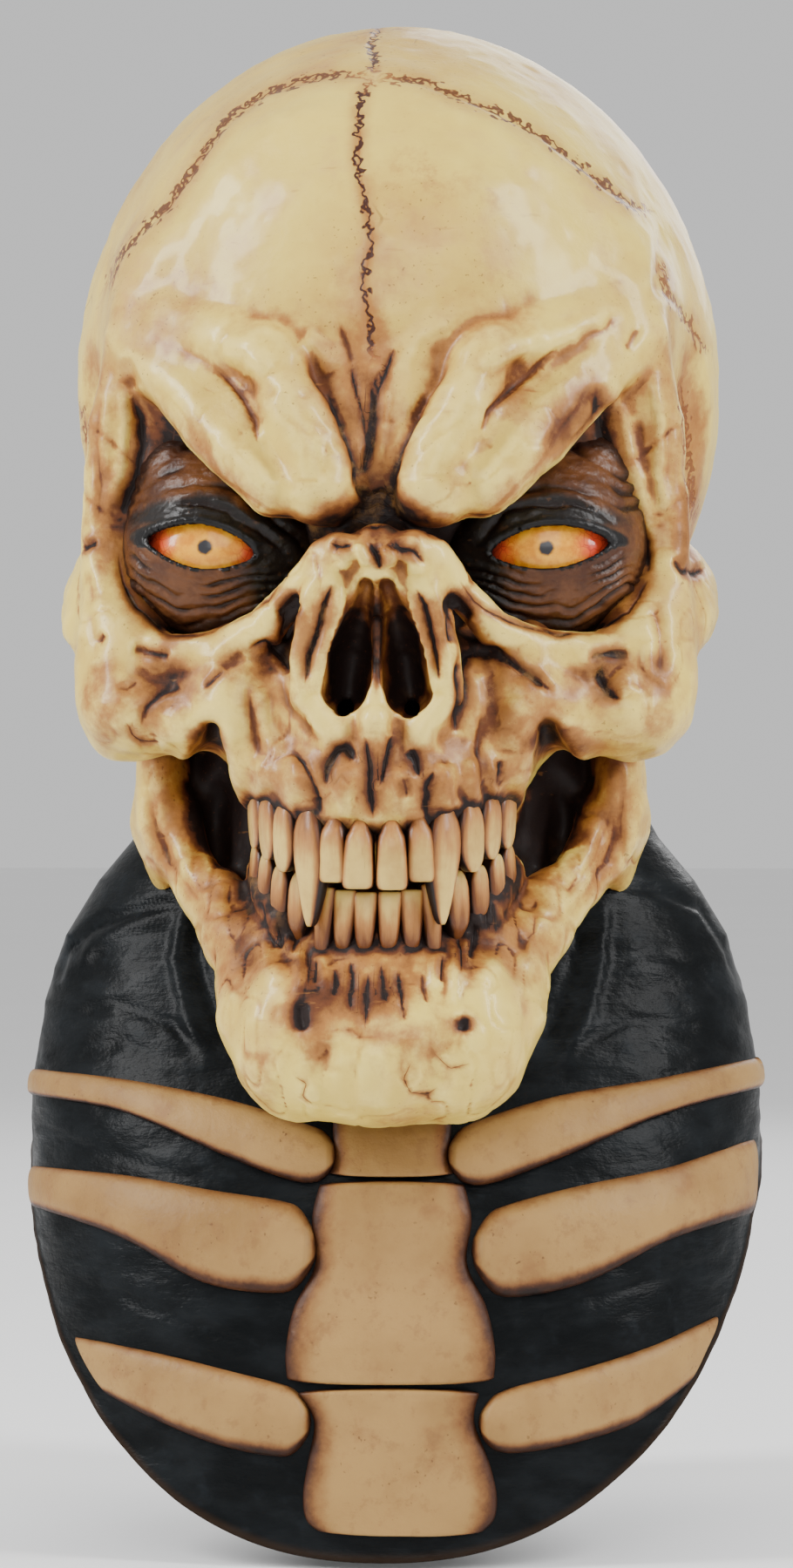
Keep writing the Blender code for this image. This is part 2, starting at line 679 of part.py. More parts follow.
def tooth_mesh(name, tooth, side, row_width, set_back):
    """A tooth through five rings, stood on the row's ellipse and turned to face out of it."""
    turn = math.asin(tooth.middle / 100)
    half = row_width / 2
    depth = ROW_DEPTH - set_back
    row_middle = at(0, TEETH_FRONT, 0)[1] + ROW_DEPTH
    slope = Vector((half * math.cos(turn), depth * math.sin(turn), 0)).normalized()
    outward = Vector((slope.y, -slope.x, 0))
    base = Vector((half * math.sin(turn), row_middle - depth * math.cos(turn), 0))
    width = tooth.wide / 100 * half / slope.x - TOOTH_GAP
    gum, tip = height_at(tooth.gum), height_at(tooth.tip)
    rings = []
    for ring in TOOTH_RINGS:
        wide = ring.wide
        if wide is None:
            wide = tooth.taper + (1 - tooth.taper) * (1 - ring.height) * TIP_FULLNESS
        lift = Vector((0, 0, gum + (tip - gum) * ring.height))
        corners = []
        for along, out in TOOTH_SECTION:
            spread = slope * (along * wide * width)
            reach = outward * ((out * ring.thick - ring.set_back) * TOOTH_THICKNESS)
            corner = base + lift + spread + reach
            corners.append(Vector((side * corner.x, corner.y, corner.z)))
        rings.append(corners)
    return ring_mesh(name, rings)


def make_teeth(side, outside):
    teeth = []
    rows = (("upper", UPPER_TEETH, UPPER_ROW_SHARE, 0), ("lower", LOWER_TEETH, LOWER_ROW_SHARE,
                                                         LOWER_ROW_SET_BACK))
    for row, table, row_share, set_back in rows:
        for tooth in table:
            name = f"{row}_{tooth.name}_{hand_of(side)}"
            mesh = tooth_mesh(name, tooth, side, row_share * HEAD_WIDTH / 100, set_back)
            teeth.append(add_object(name, mesh, tooth_enamel, parts))
            cut_away(teeth[-1], outside)
    return teeth


def bib_height(drop):
    return CHIN_Z - drop * BIB_DROP / 100


def through_three(first, middle, last, share):
    """The parabola that runs through three values at 0, a half and 1."""
    return (first * (2 * share - 1) * (share - 1) + middle * 4 * share * (1 - share)
            + last * share * (2 * share - 1))


# A rib's cross-section: across from its lower to its upper edge, and out from the bib
RIB_SECTION = ((-1, 0), (0, 0), (1, 0), (0.94, 0.5), (0.6, 0.88), (0, 1), (-0.6, 0.88), (-0.94, 0.5))


def rib_edges(rib, share):
    upper = through_three(rib.inner_upper, rib.mid_upper, rib.outer_upper, share)
    lower = through_three(rib.inner_lower, rib.mid_lower, rib.outer_lower, share)
    return bib_height(upper), bib_height(lower)


def make_rib(number, rib, side):
    """A raised bar over the bib from a round inner end out to the hem."""
    half = BIB_WIDTH / 2
    inner_x = rib.inner * half / 100
    middle_z = sum(rib_edges(rib, 0)) / 2
    first_turn = turn_at(inner_x, middle_z)
    last_turn = math.radians(RIB_LAST_TURN)
    while rib_edges(rib, 1)[0] - 2 * HEM_MARGIN < hem_height(last_turn):
        last_turn -= math.radians(1)
    rings = []
    for station in range(RIB_STATIONS + 1):
        progress = station / RIB_STATIONS
        turn = first_turn + (last_turn - first_turn) * progress**RIB_STATION_SPREAD
        x = neck_point(turn, middle_z).x
        share = (x - inner_x) / (half - inner_x)
        upper, lower = rib_edges(rib, share)
        lower = max(lower, hem_height(turn) + HEM_MARGIN)
        along = (x - inner_x) / (upper - lower) * 2
        roundness = math.sqrt(1 - (1 - min(along + RIB_END_START, 1)) ** 2)
        middle, reach = (upper + lower) / 2, (upper - lower) / 2 * roundness
        ring = []
        for across, out in RIB_SECTION:
            relief = RIB_RELIEF * min(1, RIB_END_SHARE + roundness) * (1 - RIB_FADE * progress**2)
            proud = RELIEF_GAP + out * relief
            point = neck_point(turn, middle + across * reach, proud)
            ring.append(Vector((side * point.x, point.y, point.z)))
        rings.append(ring)
    name = f"rib_{hand_of(side)}_{number}"
    return add_object(name, ring_mesh(name, rings), rib_bone, parts)


# A plate's cross-section: across its half width, and out from the bib
PLATE_SECTION = ((-1, 0), (-0.5, 0), (0, 0), (0.5, 0), (1, 0), (0.98, 0.5), (0.88, 0.9), (0.4, 1),
                 (-0.4, 1), (-0.88, 0.9), (-0.98, 0.5))


def make_plate(plate):
    """A raised plate of the breastbone, lofted down the middle of the bib."""
    rings = []
    for row in range(PLATE_ROWS + 1):
        share = row / PLATE_ROWS
        z = bib_height(plate.top + (plate.bottom - plate.top) * share)
        steps = np.linspace(0, 1, len(plate.widths))
        half = float(np.interp(share, steps, plate.widths)) * BIB_WIDTH / 200
        relief = BREASTBONE_RELIEF * (PLATE_END_SHARE if row in (0, PLATE_ROWS) else 1)
        ring = [neck_point(turn_at(across * half, z), z, RELIEF_GAP + out * relief)
                for across, out in PLATE_SECTION]
        rings.append(ring)
    return add_object(plate.name, ring_mesh(plate.name, rings), rib_bone, parts)


for leftover in list(bpy.data.objects):
    bpy.data.objects.remove(leftover, do_unlink=True)

parts = bpy.data.collections.new("skull_mask")
cutters = bpy.data.collections.new("cutters")
bpy.context.scene.collection.children.link(parts)
bpy.context.scene.collection.children.link(cutters)

bone_latex = make_material("bone_latex", (0.66, 0.54, 0.35), 0.42)
black_latex = make_material("black_latex", (0.012, 0.013, 0.014), 0.25)
dark_flesh = make_material("dark_flesh", (0.09, 0.035, 0.018), 0.45)
eye_paint = make_material("eye_paint", (0.62, 0.32, 0.07), 0.15)
tooth_enamel = make_material("tooth_enamel", (0.62, 0.5, 0.3), 0.3)
rib_bone = make_material("rib_bone", (0.45, 0.29, 0.15), 0.45)

head_skin = make_head()
head_outside = make_head_outside(head_skin)
neck_bib = make_neck_bib()

for hand in (1, -1):
    view_hole = add_hole_cutter("view_hole", VIEW_HOLE_PLACE, hand, VIEW_HOLE_DIAMETER)
    breath_hole = add_hole_cutter("breath_hole", BREATH_HOLE_PLACE, hand, BREATH_HOLE_DIAMETER)
    cut_away(head_skin, view_hole)
    cut_away(head_skin, breath_hole)
    make_eye_and_lids(hand, head_outside, view_hole)
    make_teeth(hand, head_outside)
    for rib_number, rib_row in enumerate(RIBS, start=1):
        make_rib(rib_number, rib_row, hand)

for plate_row in BREASTBONE:
    make_plate(plate_row)

for piece in list(parts.objects):
    if piece.modifiers and piece is not neck_bib:
        settle(piece)
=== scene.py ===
# %% [markdown]
# # A latex skull mask, dressed over its solids
# The mask goes over the whole head: a bone-coloured skull with bared teeth and painted eyes, on a glossy
# black neck that widens into a bib with ribs in relief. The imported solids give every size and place. This
# lesson builds the skin, the carving and the paint around them.

# %% Load the solids
import math
from collections import namedtuple

import bpy
import numpy as np
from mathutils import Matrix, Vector
from mathutils.kdtree import KDTree


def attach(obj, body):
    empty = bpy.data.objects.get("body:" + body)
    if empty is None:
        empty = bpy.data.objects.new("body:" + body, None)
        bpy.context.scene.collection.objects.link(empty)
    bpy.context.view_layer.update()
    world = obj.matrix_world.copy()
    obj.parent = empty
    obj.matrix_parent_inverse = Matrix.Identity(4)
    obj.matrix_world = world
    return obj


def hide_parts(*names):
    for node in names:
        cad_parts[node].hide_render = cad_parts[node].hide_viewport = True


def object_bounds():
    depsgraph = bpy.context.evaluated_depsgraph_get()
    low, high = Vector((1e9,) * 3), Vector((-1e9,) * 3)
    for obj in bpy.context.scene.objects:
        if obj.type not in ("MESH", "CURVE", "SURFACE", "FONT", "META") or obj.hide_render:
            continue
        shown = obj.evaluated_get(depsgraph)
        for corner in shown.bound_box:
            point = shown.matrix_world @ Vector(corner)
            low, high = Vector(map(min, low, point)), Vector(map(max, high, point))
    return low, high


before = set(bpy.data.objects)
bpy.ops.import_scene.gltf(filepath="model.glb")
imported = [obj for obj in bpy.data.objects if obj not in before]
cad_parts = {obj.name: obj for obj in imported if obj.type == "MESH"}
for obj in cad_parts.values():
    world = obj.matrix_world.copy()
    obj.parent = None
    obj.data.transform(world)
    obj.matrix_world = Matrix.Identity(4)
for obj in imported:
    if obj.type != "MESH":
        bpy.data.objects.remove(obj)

cad_box = [list(corner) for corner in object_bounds()]
print(len(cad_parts), "solids inside", cad_box)

# %% [markdown]
# ## The camera
# The mask is seen from the front and a little from its left, from nearly two metres away with a long
# lens, so there is almost no perspective. The same numbers tell where a point of the mask lands in the
# picture, which the carving below uses to place its lines.

# %% The camera
FRAME_WIDTH, FRAME_HEIGHT = 910, 1800
SENSOR = 36.0
LENS = 124.0
DISTANCE = 1.8
TURN = math.radians(3.0)
AIM = Vector((0, 0, -0.250))
FARTHEST_SEEN = 50.0
PIXELS_PER_TAN = FRAME_HEIGHT * LENS / SENSOR


def add_object(name, data):
    made = bpy.data.objects.new(name, data)
    bpy.context.scene.collection.objects.link(made)
    return made


forward = Vector((-math.sin(TURN), math.cos(TURN), 0))
right = Vector((math.cos(TURN), math.sin(TURN), 0))
lens_data = bpy.data.cameras.new("camera")
lens_data.lens = LENS
lens_data.sensor_width = SENSOR
lens_data.clip_end = FARTHEST_SEEN
camera = add_object("camera", lens_data)
camera.location = AIM - forward * DISTANCE
camera.rotation_euler = forward.to_track_quat("-Z", "Y").to_euler()
bpy.context.scene.camera = camera


def seen_at(points):
    """Column and row in the picture of points in space, in pixels of the 910 by 1800 frame."""
    offset = points - np.array(camera.location)
    depth = offset @ np.array(forward)
    column = FRAME_WIDTH / 2 + PIXELS_PER_TAN * (offset @ np.array(right)) / depth
    row = FRAME_HEIGHT / 2 - PIXELS_PER_TAN * offset[:, 2] / depth
    return np.stack([column, row], axis=1)


print("camera at", tuple(round(value, 3) for value in camera.location))

# %% [markdown]
# ## Floor and light
# A pale floor lies just under the bib. Varnished latex needs large soft lamps, which give the white
# streaks on the forehead: two tall ones at the sides, one that fills in from the front and one that
# lights the edge from behind. A white surrounding light keeps the shadows open.

# %% Floor and lamps
FLOOR_GAP = 0.002
FLOOR_REACH = 14.0
FLOOR_CORNERS = ((-1, -1), (1, -1), (1, 1), (-1, 1))
SURROUNDING_LIGHT = 0.72

floor_height = cad_box[0][2] - FLOOR_GAP
floor_points = [(x * FLOOR_REACH, y * FLOOR_REACH, floor_height) for x, y in FLOOR_CORNERS]
floor_mesh = bpy.data.meshes.new("floor")
floor_mesh.from_pydata(floor_points, [], [(0, 1, 2, 3)])
floor = add_object("floor", floor_mesh)


def table(kind, rows):
    """Rows of plain values as rows with the kind's named columns."""
    return [kind(*row) for row in rows]


Lamp = namedtuple("Lamp", "name azimuth height distance wide tall power")
LAMPS = table(Lamp, (
    ("softbox_left", -66, 0.85, 1.4, 0.3, 1.2, 34),
    ("softbox_right", 64, 0.85, 1.4, 0.3, 1.2, 27),
    ("front_fill", 2, 0.9, 2.3, 1.2, 1.2, 17),
    ("back_rim", 165, 0.9, 1.8, 1.0, 1.0, 12),
))
for row in LAMPS:
    lamp_data = bpy.data.lights.new(row.name, "AREA")
    lamp_data.shape = "RECTANGLE"
    lamp_data.size, lamp_data.size_y = row.wide, row.tall
    lamp_data.energy = row.power
    lamp = add_object(row.name, lamp_data)
    angle = math.radians(row.azimuth)
    across, back = math.sin(angle) * row.distance, math.cos(angle) * row.distance
    lamp.location = AIM + Vector((across, -back, row.height))
    lamp.rotation_euler = (AIM - lamp.location).to_track_quat("-Z", "Y").to_euler()

world = bpy.data.worlds.new("studio")
world.use_nodes = True
background = world.node_tree.nodes["Background"]
background.inputs["Color"].default_value = (1, 1, 1, 1)
background.inputs["Strength"].default_value = SURROUNDING_LIGHT
bpy.context.scene.world = world
print(len(LAMPS), "lamps")

# %% [markdown]
# ## Writing shader maths as sums
# A node tree is a formula drawn as boxes. It is easier to read as a formula, so a small class wraps one
# output socket and lets it be added and multiplied in Python. Everything else, such as noise or a mix of
# colours, comes from one method that makes any node: its type, its settings, then its sockets.

# %% A wire and a finish
class Wire:
    """An output socket that takes part in sums: wire * 2, 1 - wire, abs(wire)."""

    def __init__(self, finish, socket):
        self.finish = finish
        self.socket = socket

    def maths(self, operation, first, second=0.0):
        return self.finish.node("ShaderNodeMath", {"operation": operation}, {0: first, 1: second})

    def __add__(self, other):
        return self.maths("ADD", self, other)

    def __radd__(self, other):
        return self.maths("ADD", other, self)

    def __sub__(self, other):
        return self.maths("SUBTRACT", self, other)

    def __rsub__(self, other):
        return self.maths("SUBTRACT", other, self)

    def __mul__(self, other):
        return self.maths("MULTIPLY", self, other)

    def __rmul__(self, other):
        return self.maths("MULTIPLY", other, self)

    def __abs__(self):
        return self.maths("ABSOLUTE", self)

    def between(self, low, high):
        """0 below low, 1 above high, smooth in between."""
        settings = {"interpolation_type": "SMOOTHSTEP"}
        sockets = {"Value": self, "From Min": low, "From Max": high}
        return self.finish.node("ShaderNodeMapRange", settings, sockets)


class Finish:
    """A material whose nodes all come from one method."""

    def __init__(self, name):
        self.material = bpy.data.materials.new(name)
        self.material.use_nodes = True
        self.tree = self.material.node_tree
        self.shader = self.tree.nodes["Principled BSDF"]

    def join(self, value, socket):
        """Links a wire to a socket, or sets the socket to a plain value."""
        if isinstance(value, Wire):
            self.tree.links.new(value.socket, socket)
        else:
            socket.default_value = value

    def node(self, kind, settings, sockets, output=0):
        made = self.tree.nodes.new(kind)
        for name, value in settings.items():
            setattr(made, name, value)
        for key, value in sockets.items():
            self.join(value, made.inputs[key])
        return Wire(self, made.outputs[output])

    def place(self):
        return self.node("ShaderNodeTexCoord", {}, {}, "Object")

    def vector(self, operation, sockets):
        return self.node("ShaderNodeVectorMath", {"operation": operation}, sockets)

    def stretched(self, x, y, z):
        return self.vector("MULTIPLY", {0: self.place(), 1: (x, y, z)})

    def noise(self, scale, detail=4.0, roughness=0.55, place=None):
        place = place or self.place()
        sockets = {"Vector": place, "Scale": scale, "Detail": detail, "Roughness": roughness}
        return self.node("ShaderNodeTexNoise", {}, sockets, "Fac")

    def cell_edges(self, scale, place=None):
        """How far each point is from the nearest edge between cells, like those of dried mud."""
        settings = {"feature": "DISTANCE_TO_EDGE"}
        sockets = {"Vector": place or self.place(), "Scale": scale}
        return self.node("ShaderNodeTexVoronoi", settings, sockets, "Distance")

    def mark(self, name):
        """A number kept at each point of the mesh."""
        return self.node("ShaderNodeAttribute", {"attribute_name": name}, {}, "Fac")

    def mix(self, share, first, second):
        first = first if isinstance(first, Wire) else (*first, 1)
        second = second if isinstance(second, Wire) else (*second, 1)
        return self.node("ShaderNodeMix", {"data_type": "RGBA"}, {0: share, 6: first, 7: second}, 2)

    def bump(self, height, distance, strength):
        sockets = {"Height": height, "Distance": distance, "Strength": strength}
        return self.node("ShaderNodeBump", {}, sockets)

    def wear(self, **sockets):
        """Links or sets the shader's own sockets by their names, with _ for each space."""
        for name, value in sockets.items():
            self.join(value, self.shader.inputs[name.replace("_", " ")])
        return self.material


floor_finish = Finish("pale_floor")
floor_tone = floor_finish.mix(floor_finish.noise(3.0), (0.86, 0.86, 0.86), (0.90, 0.90, 0.90))
floor_mesh.materials.append(floor_finish.wear(Base_Color=floor_tone, Roughness=0.7))
print("floor finish ready")

# %% [markdown]
# ## Bone as a sum of forms
# Each bone is written down as a lump (an ellipsoid) or a roll (a chain of tapered bars) that is added to
# the skull or cut out of it, with a soft blend. Together they tell how far any point in space is outside
# the skin. Places and radii are percentages of the head's width, depth and height, as in the solids.

# %% Sizes and kinds of form
HEAD_WIDTH, HEAD_DEPTH, HEAD_HEIGHT = 0.217, 0.262, 0.361
SKIN = 0.003
ADD, CUT = "add", "cut"
Lump = namedtuple("Lump", "name how side front drop wide deep high blend")
Roll = namedtuple("Roll", "name how points deepness blend")

# %% The skull's forms
SKULL = (
    Lump("cranium", ADD, 0, -5.5, 33.5, 49.5, 44.5, 33.5, 0),
    Lump("forehead", ADD, 0, 14, 27, 38, 27.5, 20.5, 8),
    Lump("temple", CUT, 48.5, 17, 40, 6, 10, 10, 5),
    Lump("glabella", ADD, 0, 35.5, 41, 15, 8.5, 9, 5),
    Lump("orbit_wall", ADD, 33, 20, 43, 8.5, 9.5, 13, 4),
    Lump("face", ADD, 0, 16, 52.5, 42, 18.5, 15, 6),
    Lump("throat", ADD, 0, 8.5, 73.5, 33, 17.5, 20.5, 7),
    Lump("mastoid", ADD, 33, -3, 59.5, 7.5, 8.5, 6.5, 6),
    Lump("maxilla", ADD, 0, 26.5, 64, 21, 21, 12, 6),
    Lump("nasal", ADD, 0, 40.5, 52.5, 7, 7, 5.5, 4),
    Lump("cheekbone", ADD, 37.5, 27, 60.5, 8.5, 9, 7.5, 4),
    Lump("cheekbone_low", ADD, 34.8, 29.5, 63.6, 9.5, 8.5, 3.9, 3),
    Roll("cheek_bridge", ADD, ((33, 32, 63.5, 4), (27, 35, 63.8, 4.2), (21, 36.5, 62.5, 4)), 1, 4),
    Lump("cheek_front", ADD, 20.5, 31.5, 63.5, 9.5, 10.5, 8.5, 5),
    Lump("arch_block", ADD, 42.5, 16, 53.5, 6, 10, 5.5, 2.5),
    Roll("arch", ADD, ((43.5, 23, 56, 4.5), (44, 11.5, 53.5, 4.5), (40.5, -4, 52, 4.5)), 1, 4),
    Lump("socket", CUT, 23, 46, 48.5, 16, 13.5, 8, 2.5),
    Roll("socket_corner", CUT, ((26.5, 42.5, 45, 9), (32.5, 37.5, 39, 4)), 1.2, 2),
    Lump("frontal_corner", ADD, 31.5, 20.5, 29, 9, 9, 8, 8),
    Roll("outer_ridge", ADD, ((36, 26.5, 28.5, 4), (40, 26, 38, 4), (41.5, 25.5, 47.5, 3.5),
        (40.5, 29, 56, 4)), 1, 4),
    Roll("lower_rim", ADD, ((38.5, 30.5, 57, 3.5), (31.5, 34.5, 59, 3.5), (23, 37.5, 58.5, 3),
        (16.5, 40.5, 56.5, 3), (12, 42.5, 53.5, 2.5), (8, 45, 50.5, 2.5)), 1, 1.5),
    Roll("brow", ADD, ((9, 40.8, 42.5, 6.5), (18, 38.2, 39.2, 6.5), (27, 33.8, 35.5, 5.5),
        (35.5, 28, 30.5, 4)), 1, 3),
    Roll("outer_roll", ADD, ((37.5, 27.5, 30.6, 3.4), (31.5, 32.5, 34, 4), (26, 36.6, 37.6, 4.6),
        (20.5, 40.2, 41, 5), (15, 42.6, 44, 4.9)), 1, 2),
    Roll("inner_roll", ADD, ((16, 40.6, 32.6, 3.4), (12.4, 43, 37.3, 4.4), (9.4, 43.8, 41.3, 5.2),
        (8.2, 43.3, 44.2, 6)), 1, 2),
    Roll("brow_fold", ADD, ((14.5, 40, 33.2, 3), (22, 37.8, 31.4, 3.4), (31, 31.5, 29.4, 3)), 1, 4.5),
    Roll("brow_cleft", CUT, ((0, 47.5, 49, 2.6), (0, 48, 46.5, 2.0), (0, 47.8, 42.5, 1.4),
        (0, 46.6, 37, 0.8)), 1.7, 3),
    Roll("nose_wall", ADD, ((5.5, 45.5, 50, 3), (8.5, 45, 56, 3), (9.5, 44.5, 62.5, 3),
        (6, 46, 65.5, 2.5)), 1, 1.5),
    Roll("nose_bridge", ADD, ((0, 45.6, 49.6, 3.4), (0, 46.8, 51.2, 2.8)), 1, 2),
    Roll("nose_bumps", ADD, ((1.8, 47.6, 50.2, 2.0), (4.8, 46.8, 49.8, 2.1),
        (6.6, 45.6, 51.6, 1.8)), 1, 1.2),
    Roll("nose_hole", CUT, ((1.4, 47, 53.3, 1.4), (2.3, 46.5, 55.6, 2.6), (3.8, 46, 59.2, 3.6),
        (4.4, 45.5, 62.0, 3.4)), 2.5, 0.6),
    Roll("septum", ADD, ((0, 44, 56, 0.4), (0, 44.3, 60, 0.7), (0, 45, 63, 1.0)), 1.5, 0.5),
    Roll("spine_knob", ADD, ((0, 46.4, 62.8, 1.3), (0, 47.6, 64.5, 2.3), (0, 46.2, 66.6, 2.4)), 1, 1.5),
    Lump("upper_gum", ADD, 0, 27, 72.5, 19.5, 20, 6, 3),
    Lump("lower_gum", ADD, 0, 26.5, 84.5, 18.5, 18.5, 5.5, 3),
    Roll("upper_ridge", ADD, ((0, 45.3, 69.8, 3.9), (7, 44.5, 69.7, 3.9), (12.3, 41.7, 69.1, 3.8),
        (16.2, 37.9, 68.4, 3.7), (18.4, 33, 67.6, 3.5), (19.3, 29, 66.9, 3.3)), 1, 4),
    Roll("upper_rim", ADD, ((0, 45.2, 73.0, 2.3), (7, 44.3, 72.8, 2.3), (12, 41.6, 71.8, 2.2),
        (15.6, 37.6, 70.6, 2.1), (18, 32.6, 69.8, 2.0), (19, 29, 69, 2)), 1, 1.5),
    Roll("lower_ridge", ADD, ((0, 43.2, 86.3, 2.7), (7, 42.4, 86.1, 2.7), (12.2, 39.8, 85.3, 2.6),
        (15.8, 36.2, 84, 2.5), (18.2, 31.8, 82.5, 2.4), (19, 28, 81.2, 2.2)), 1, 2.5),
    Roll("molar_gum", ADD, ((17.5, 29, 78, 3), (16.5, 34, 79.5, 3), (14, 38, 82, 3)), 1, 2),
    Lump("ramus", ADD, 34, 13, 70.5, 4.5, 8.5, 9.5, 3),
    Roll("jaw", ADD, ((34, 14.5, 73.5, 4.5), (29.5, 19, 77.5, 4.5), (24, 26, 81.5, 5),
        (19.5, 33, 85.5, 5.5), (17.5, 37.5, 90, 6.5)), 1, 3),
    Lump("chin", ADD, 0, 41.4, 92.6, 15.5, 10, 7.4, 4),
    Lump("chin_side", ADD, 11, 40.0, 92, 11, 9.5, 7.5, 3),
    Roll("chin_boss", ADD, ((6.5, 47.3, 92.6, 3.6), (7.5, 46.4, 95.4, 3.8)), 1, 3),
    Lump("chin_floor", ADD, 0, 30, 89, 18, 11, 6.5, 6),
    Lump("jaw_hollow", CUT, 26, 28, 73.5, 5, 12, 6.5, 2),
    Roll("jaw_inner", ADD, ((31, 18.0, 72.5, 2.2), (28.4, 21.5, 77.2, 2.8), (24.2, 27, 80.0, 2.8)), 1, 3),
    Roll("pocket_top", CUT, ((24.2, 38, 65.4, 1.5), (24.8, 36.5, 67.6, 2.7),
        (25.2, 34, 70.5, 3.6)), 3, 2.5),
)
print(len(SKULL), "forms of bone")

# %% [markdown]
# ## From forms to a skin
# Each form's distance is worked out only near it, because a small bone can't change the skin far away.
# Then a grid is laid through space. Each grid cell that the skin crosses gets one point, and the points
# are joined to four-sided faces, which follow the shape evenly.

# %% Distance from the forms
BAND = 0.016
STEEPNESS_FLOOR, BLEND_FLOOR = 1e-6, 1e-5


def at(side, front, drop):
    return np.array((side * HEAD_WIDTH / 100, -front * HEAD_DEPTH / 100, SKIN - drop * HEAD_HEIGHT / 100))


def is_pair(form):
    if isinstance(form, Lump):
        return form.side > 0
    return any(stop[0] > 0 for stop in form.points)


def half_sizes(lump):
    return np.array((lump.wide * HEAD_WIDTH, lump.deep * HEAD_DEPTH, lump.high * HEAD_HEIGHT)) / 100


def reach_of(form):
    """The box outside which a form changes nothing."""
    margin = BAND + form.blend * HEAD_WIDTH / 100
    if isinstance(form, Lump):
        middle = at(form.side, form.front, form.drop)
        return middle - half_sizes(form) - margin, middle + half_sizes(form) + margin
    stops = np.array([at(*stop[:3]) for stop in form.points])
    radius = max(stop[3] for stop in form.points) * HEAD_WIDTH / 100 * max(1, form.deepness)
    return stops.min(axis=0) - radius - margin, stops.max(axis=0) + radius + margin


def lump_distance(form, points):
    half = half_sizes(form)
    offset = points - at(form.side, form.front, form.drop)
    scaled = np.sqrt(((offset / half) ** 2).sum(axis=1))
    steepness = np.sqrt(((offset / half**2) ** 2).sum(axis=1))
    return scaled * (scaled - 1) / np.maximum(steepness, STEEPNESS_FLOOR)


def roll_distance(form, points):
    squeeze = np.array((1, 1 / form.deepness, 1))
    stops = [at(*stop[:3]) * squeeze for stop in form.points]
    radii = [stop[3] * HEAD_WIDTH / 100 for stop in form.points]
    squeezed = points * squeeze
    nearest = np.full(len(points), np.inf)
    for start, end, start_radius, end_radius in zip(stops, stops[1:], radii, radii[1:]):
        along = end - start
        share = np.clip((squeezed - start) @ along / (along @ along), 0, 1)
        gap = np.linalg.norm(squeezed - start - share[:, None] * along, axis=1)
        nearest = np.minimum(nearest, gap - start_radius - share * (end_radius - start_radius))
    return nearest


def forms_distance(forms, points):
    """How far points are outside the skin of a table of forms, each taken in its turn."""
    mirrored = points.copy()
    mirrored[:, 0] = np.abs(mirrored[:, 0])
    total = lump_distance(forms[0], points)
    for form in forms[1:]:
        places = mirrored if is_pair(form) else points
        low, high = reach_of(form)
        near = np.flatnonzero(((places > low) & (places < high)).all(axis=1))
        if not len(near):
            continue
        measure = lump_distance if isinstance(form, Lump) else roll_distance
        sign = 1 if form.how == ADD else -1
        distance = sign * measure(form, places[near])
        old = total[near]
        blend = max(form.blend * HEAD_WIDTH / 100, BLEND_FLOOR)
        mix = np.clip(0.5 + 0.5 * (old - distance) * sign / blend, 0, 1)
        total[near] = old + mix * (distance - old) - sign * blend * mix * (1 - mix)
    return total


print("distance at the tip of the nose bone:", forms_distance(SKULL, np.array([at(0, 45, 50)])))

# %% A skin from a distance
COARSE = 4
SEARCH_REACH = 1.5
PULLS, LONGEST_PULL, FLATTEST_SLOPE = 2, 0.35, 0.2


def gradient_of(distance, points, reach=0.0004):
    slopes = [distance(points + axis) - distance(points - axis) for axis in np.eye(3) * reach]
    return np.stack(slopes, axis=1) / (2 * reach)


def sampled(distance, low, high, step):
    """Distances on a grid of one step. Far from the skin they are copied from a coarser grid."""
    block = step * COARSE
    blocks = np.ceil((high - low) / block).astype(int)
    axes = [low[i] + block * np.arange(blocks[i] + 1) for i in range(3)]
    grid = np.stack(np.meshgrid(*axes, indexing="ij"), axis=-1).reshape(-1, 3)
    rough = distance(grid).reshape(blocks + 1)
    size = blocks * COARSE + 1
    values = rough.repeat(COARSE, 0).repeat(COARSE, 1).repeat(COARSE, 2)
    values = values[:size[0], :size[1], :size[2]].copy()
    nearest = np.full(blocks, np.inf)
    for i, j, k in np.ndindex(2, 2, 2):
        corner = np.abs(rough[i:i + blocks[0], j:j + blocks[1], k:k + blocks[2]])
        nearest = np.minimum(nearest, corner)
    wanted = np.zeros(values.shape, bool)
    starts = np.argwhere(nearest < SEARCH_REACH * block) * COARSE
    for i, j, k in np.ndindex(COARSE + 1, COARSE + 1, COARSE + 1):
        wanted[starts[:, 0] + i, starts[:, 1] + j, starts[:, 2] + k] = True
    values[wanted] = distance(low + step * np.argwhere(wanted))
    return values


def faces_across(axis, inside, number):
    """A face for each grid edge along one axis that crosses the skin, between the cells round it."""
    _, side, other = np.roll(np.eye(3, dtype=int), -axis, axis=0)
    starts = np.argwhere(np.diff(inside.astype(np.int8), axis=axis) != 0)
    starts = starts[(starts[:, (axis + 1) % 3] > 0) & (starts[:, (axis + 2) % 3] > 0)]
    ring = [starts - side - other, starts - other, starts, starts - side]
    quad = np.stack([number[tuple(cell.T)] for cell in ring], axis=1)
    leaving = inside[tuple(starts.T)]
    quad[~leaving] = quad[~leaving][:, ::-1]
    return quad


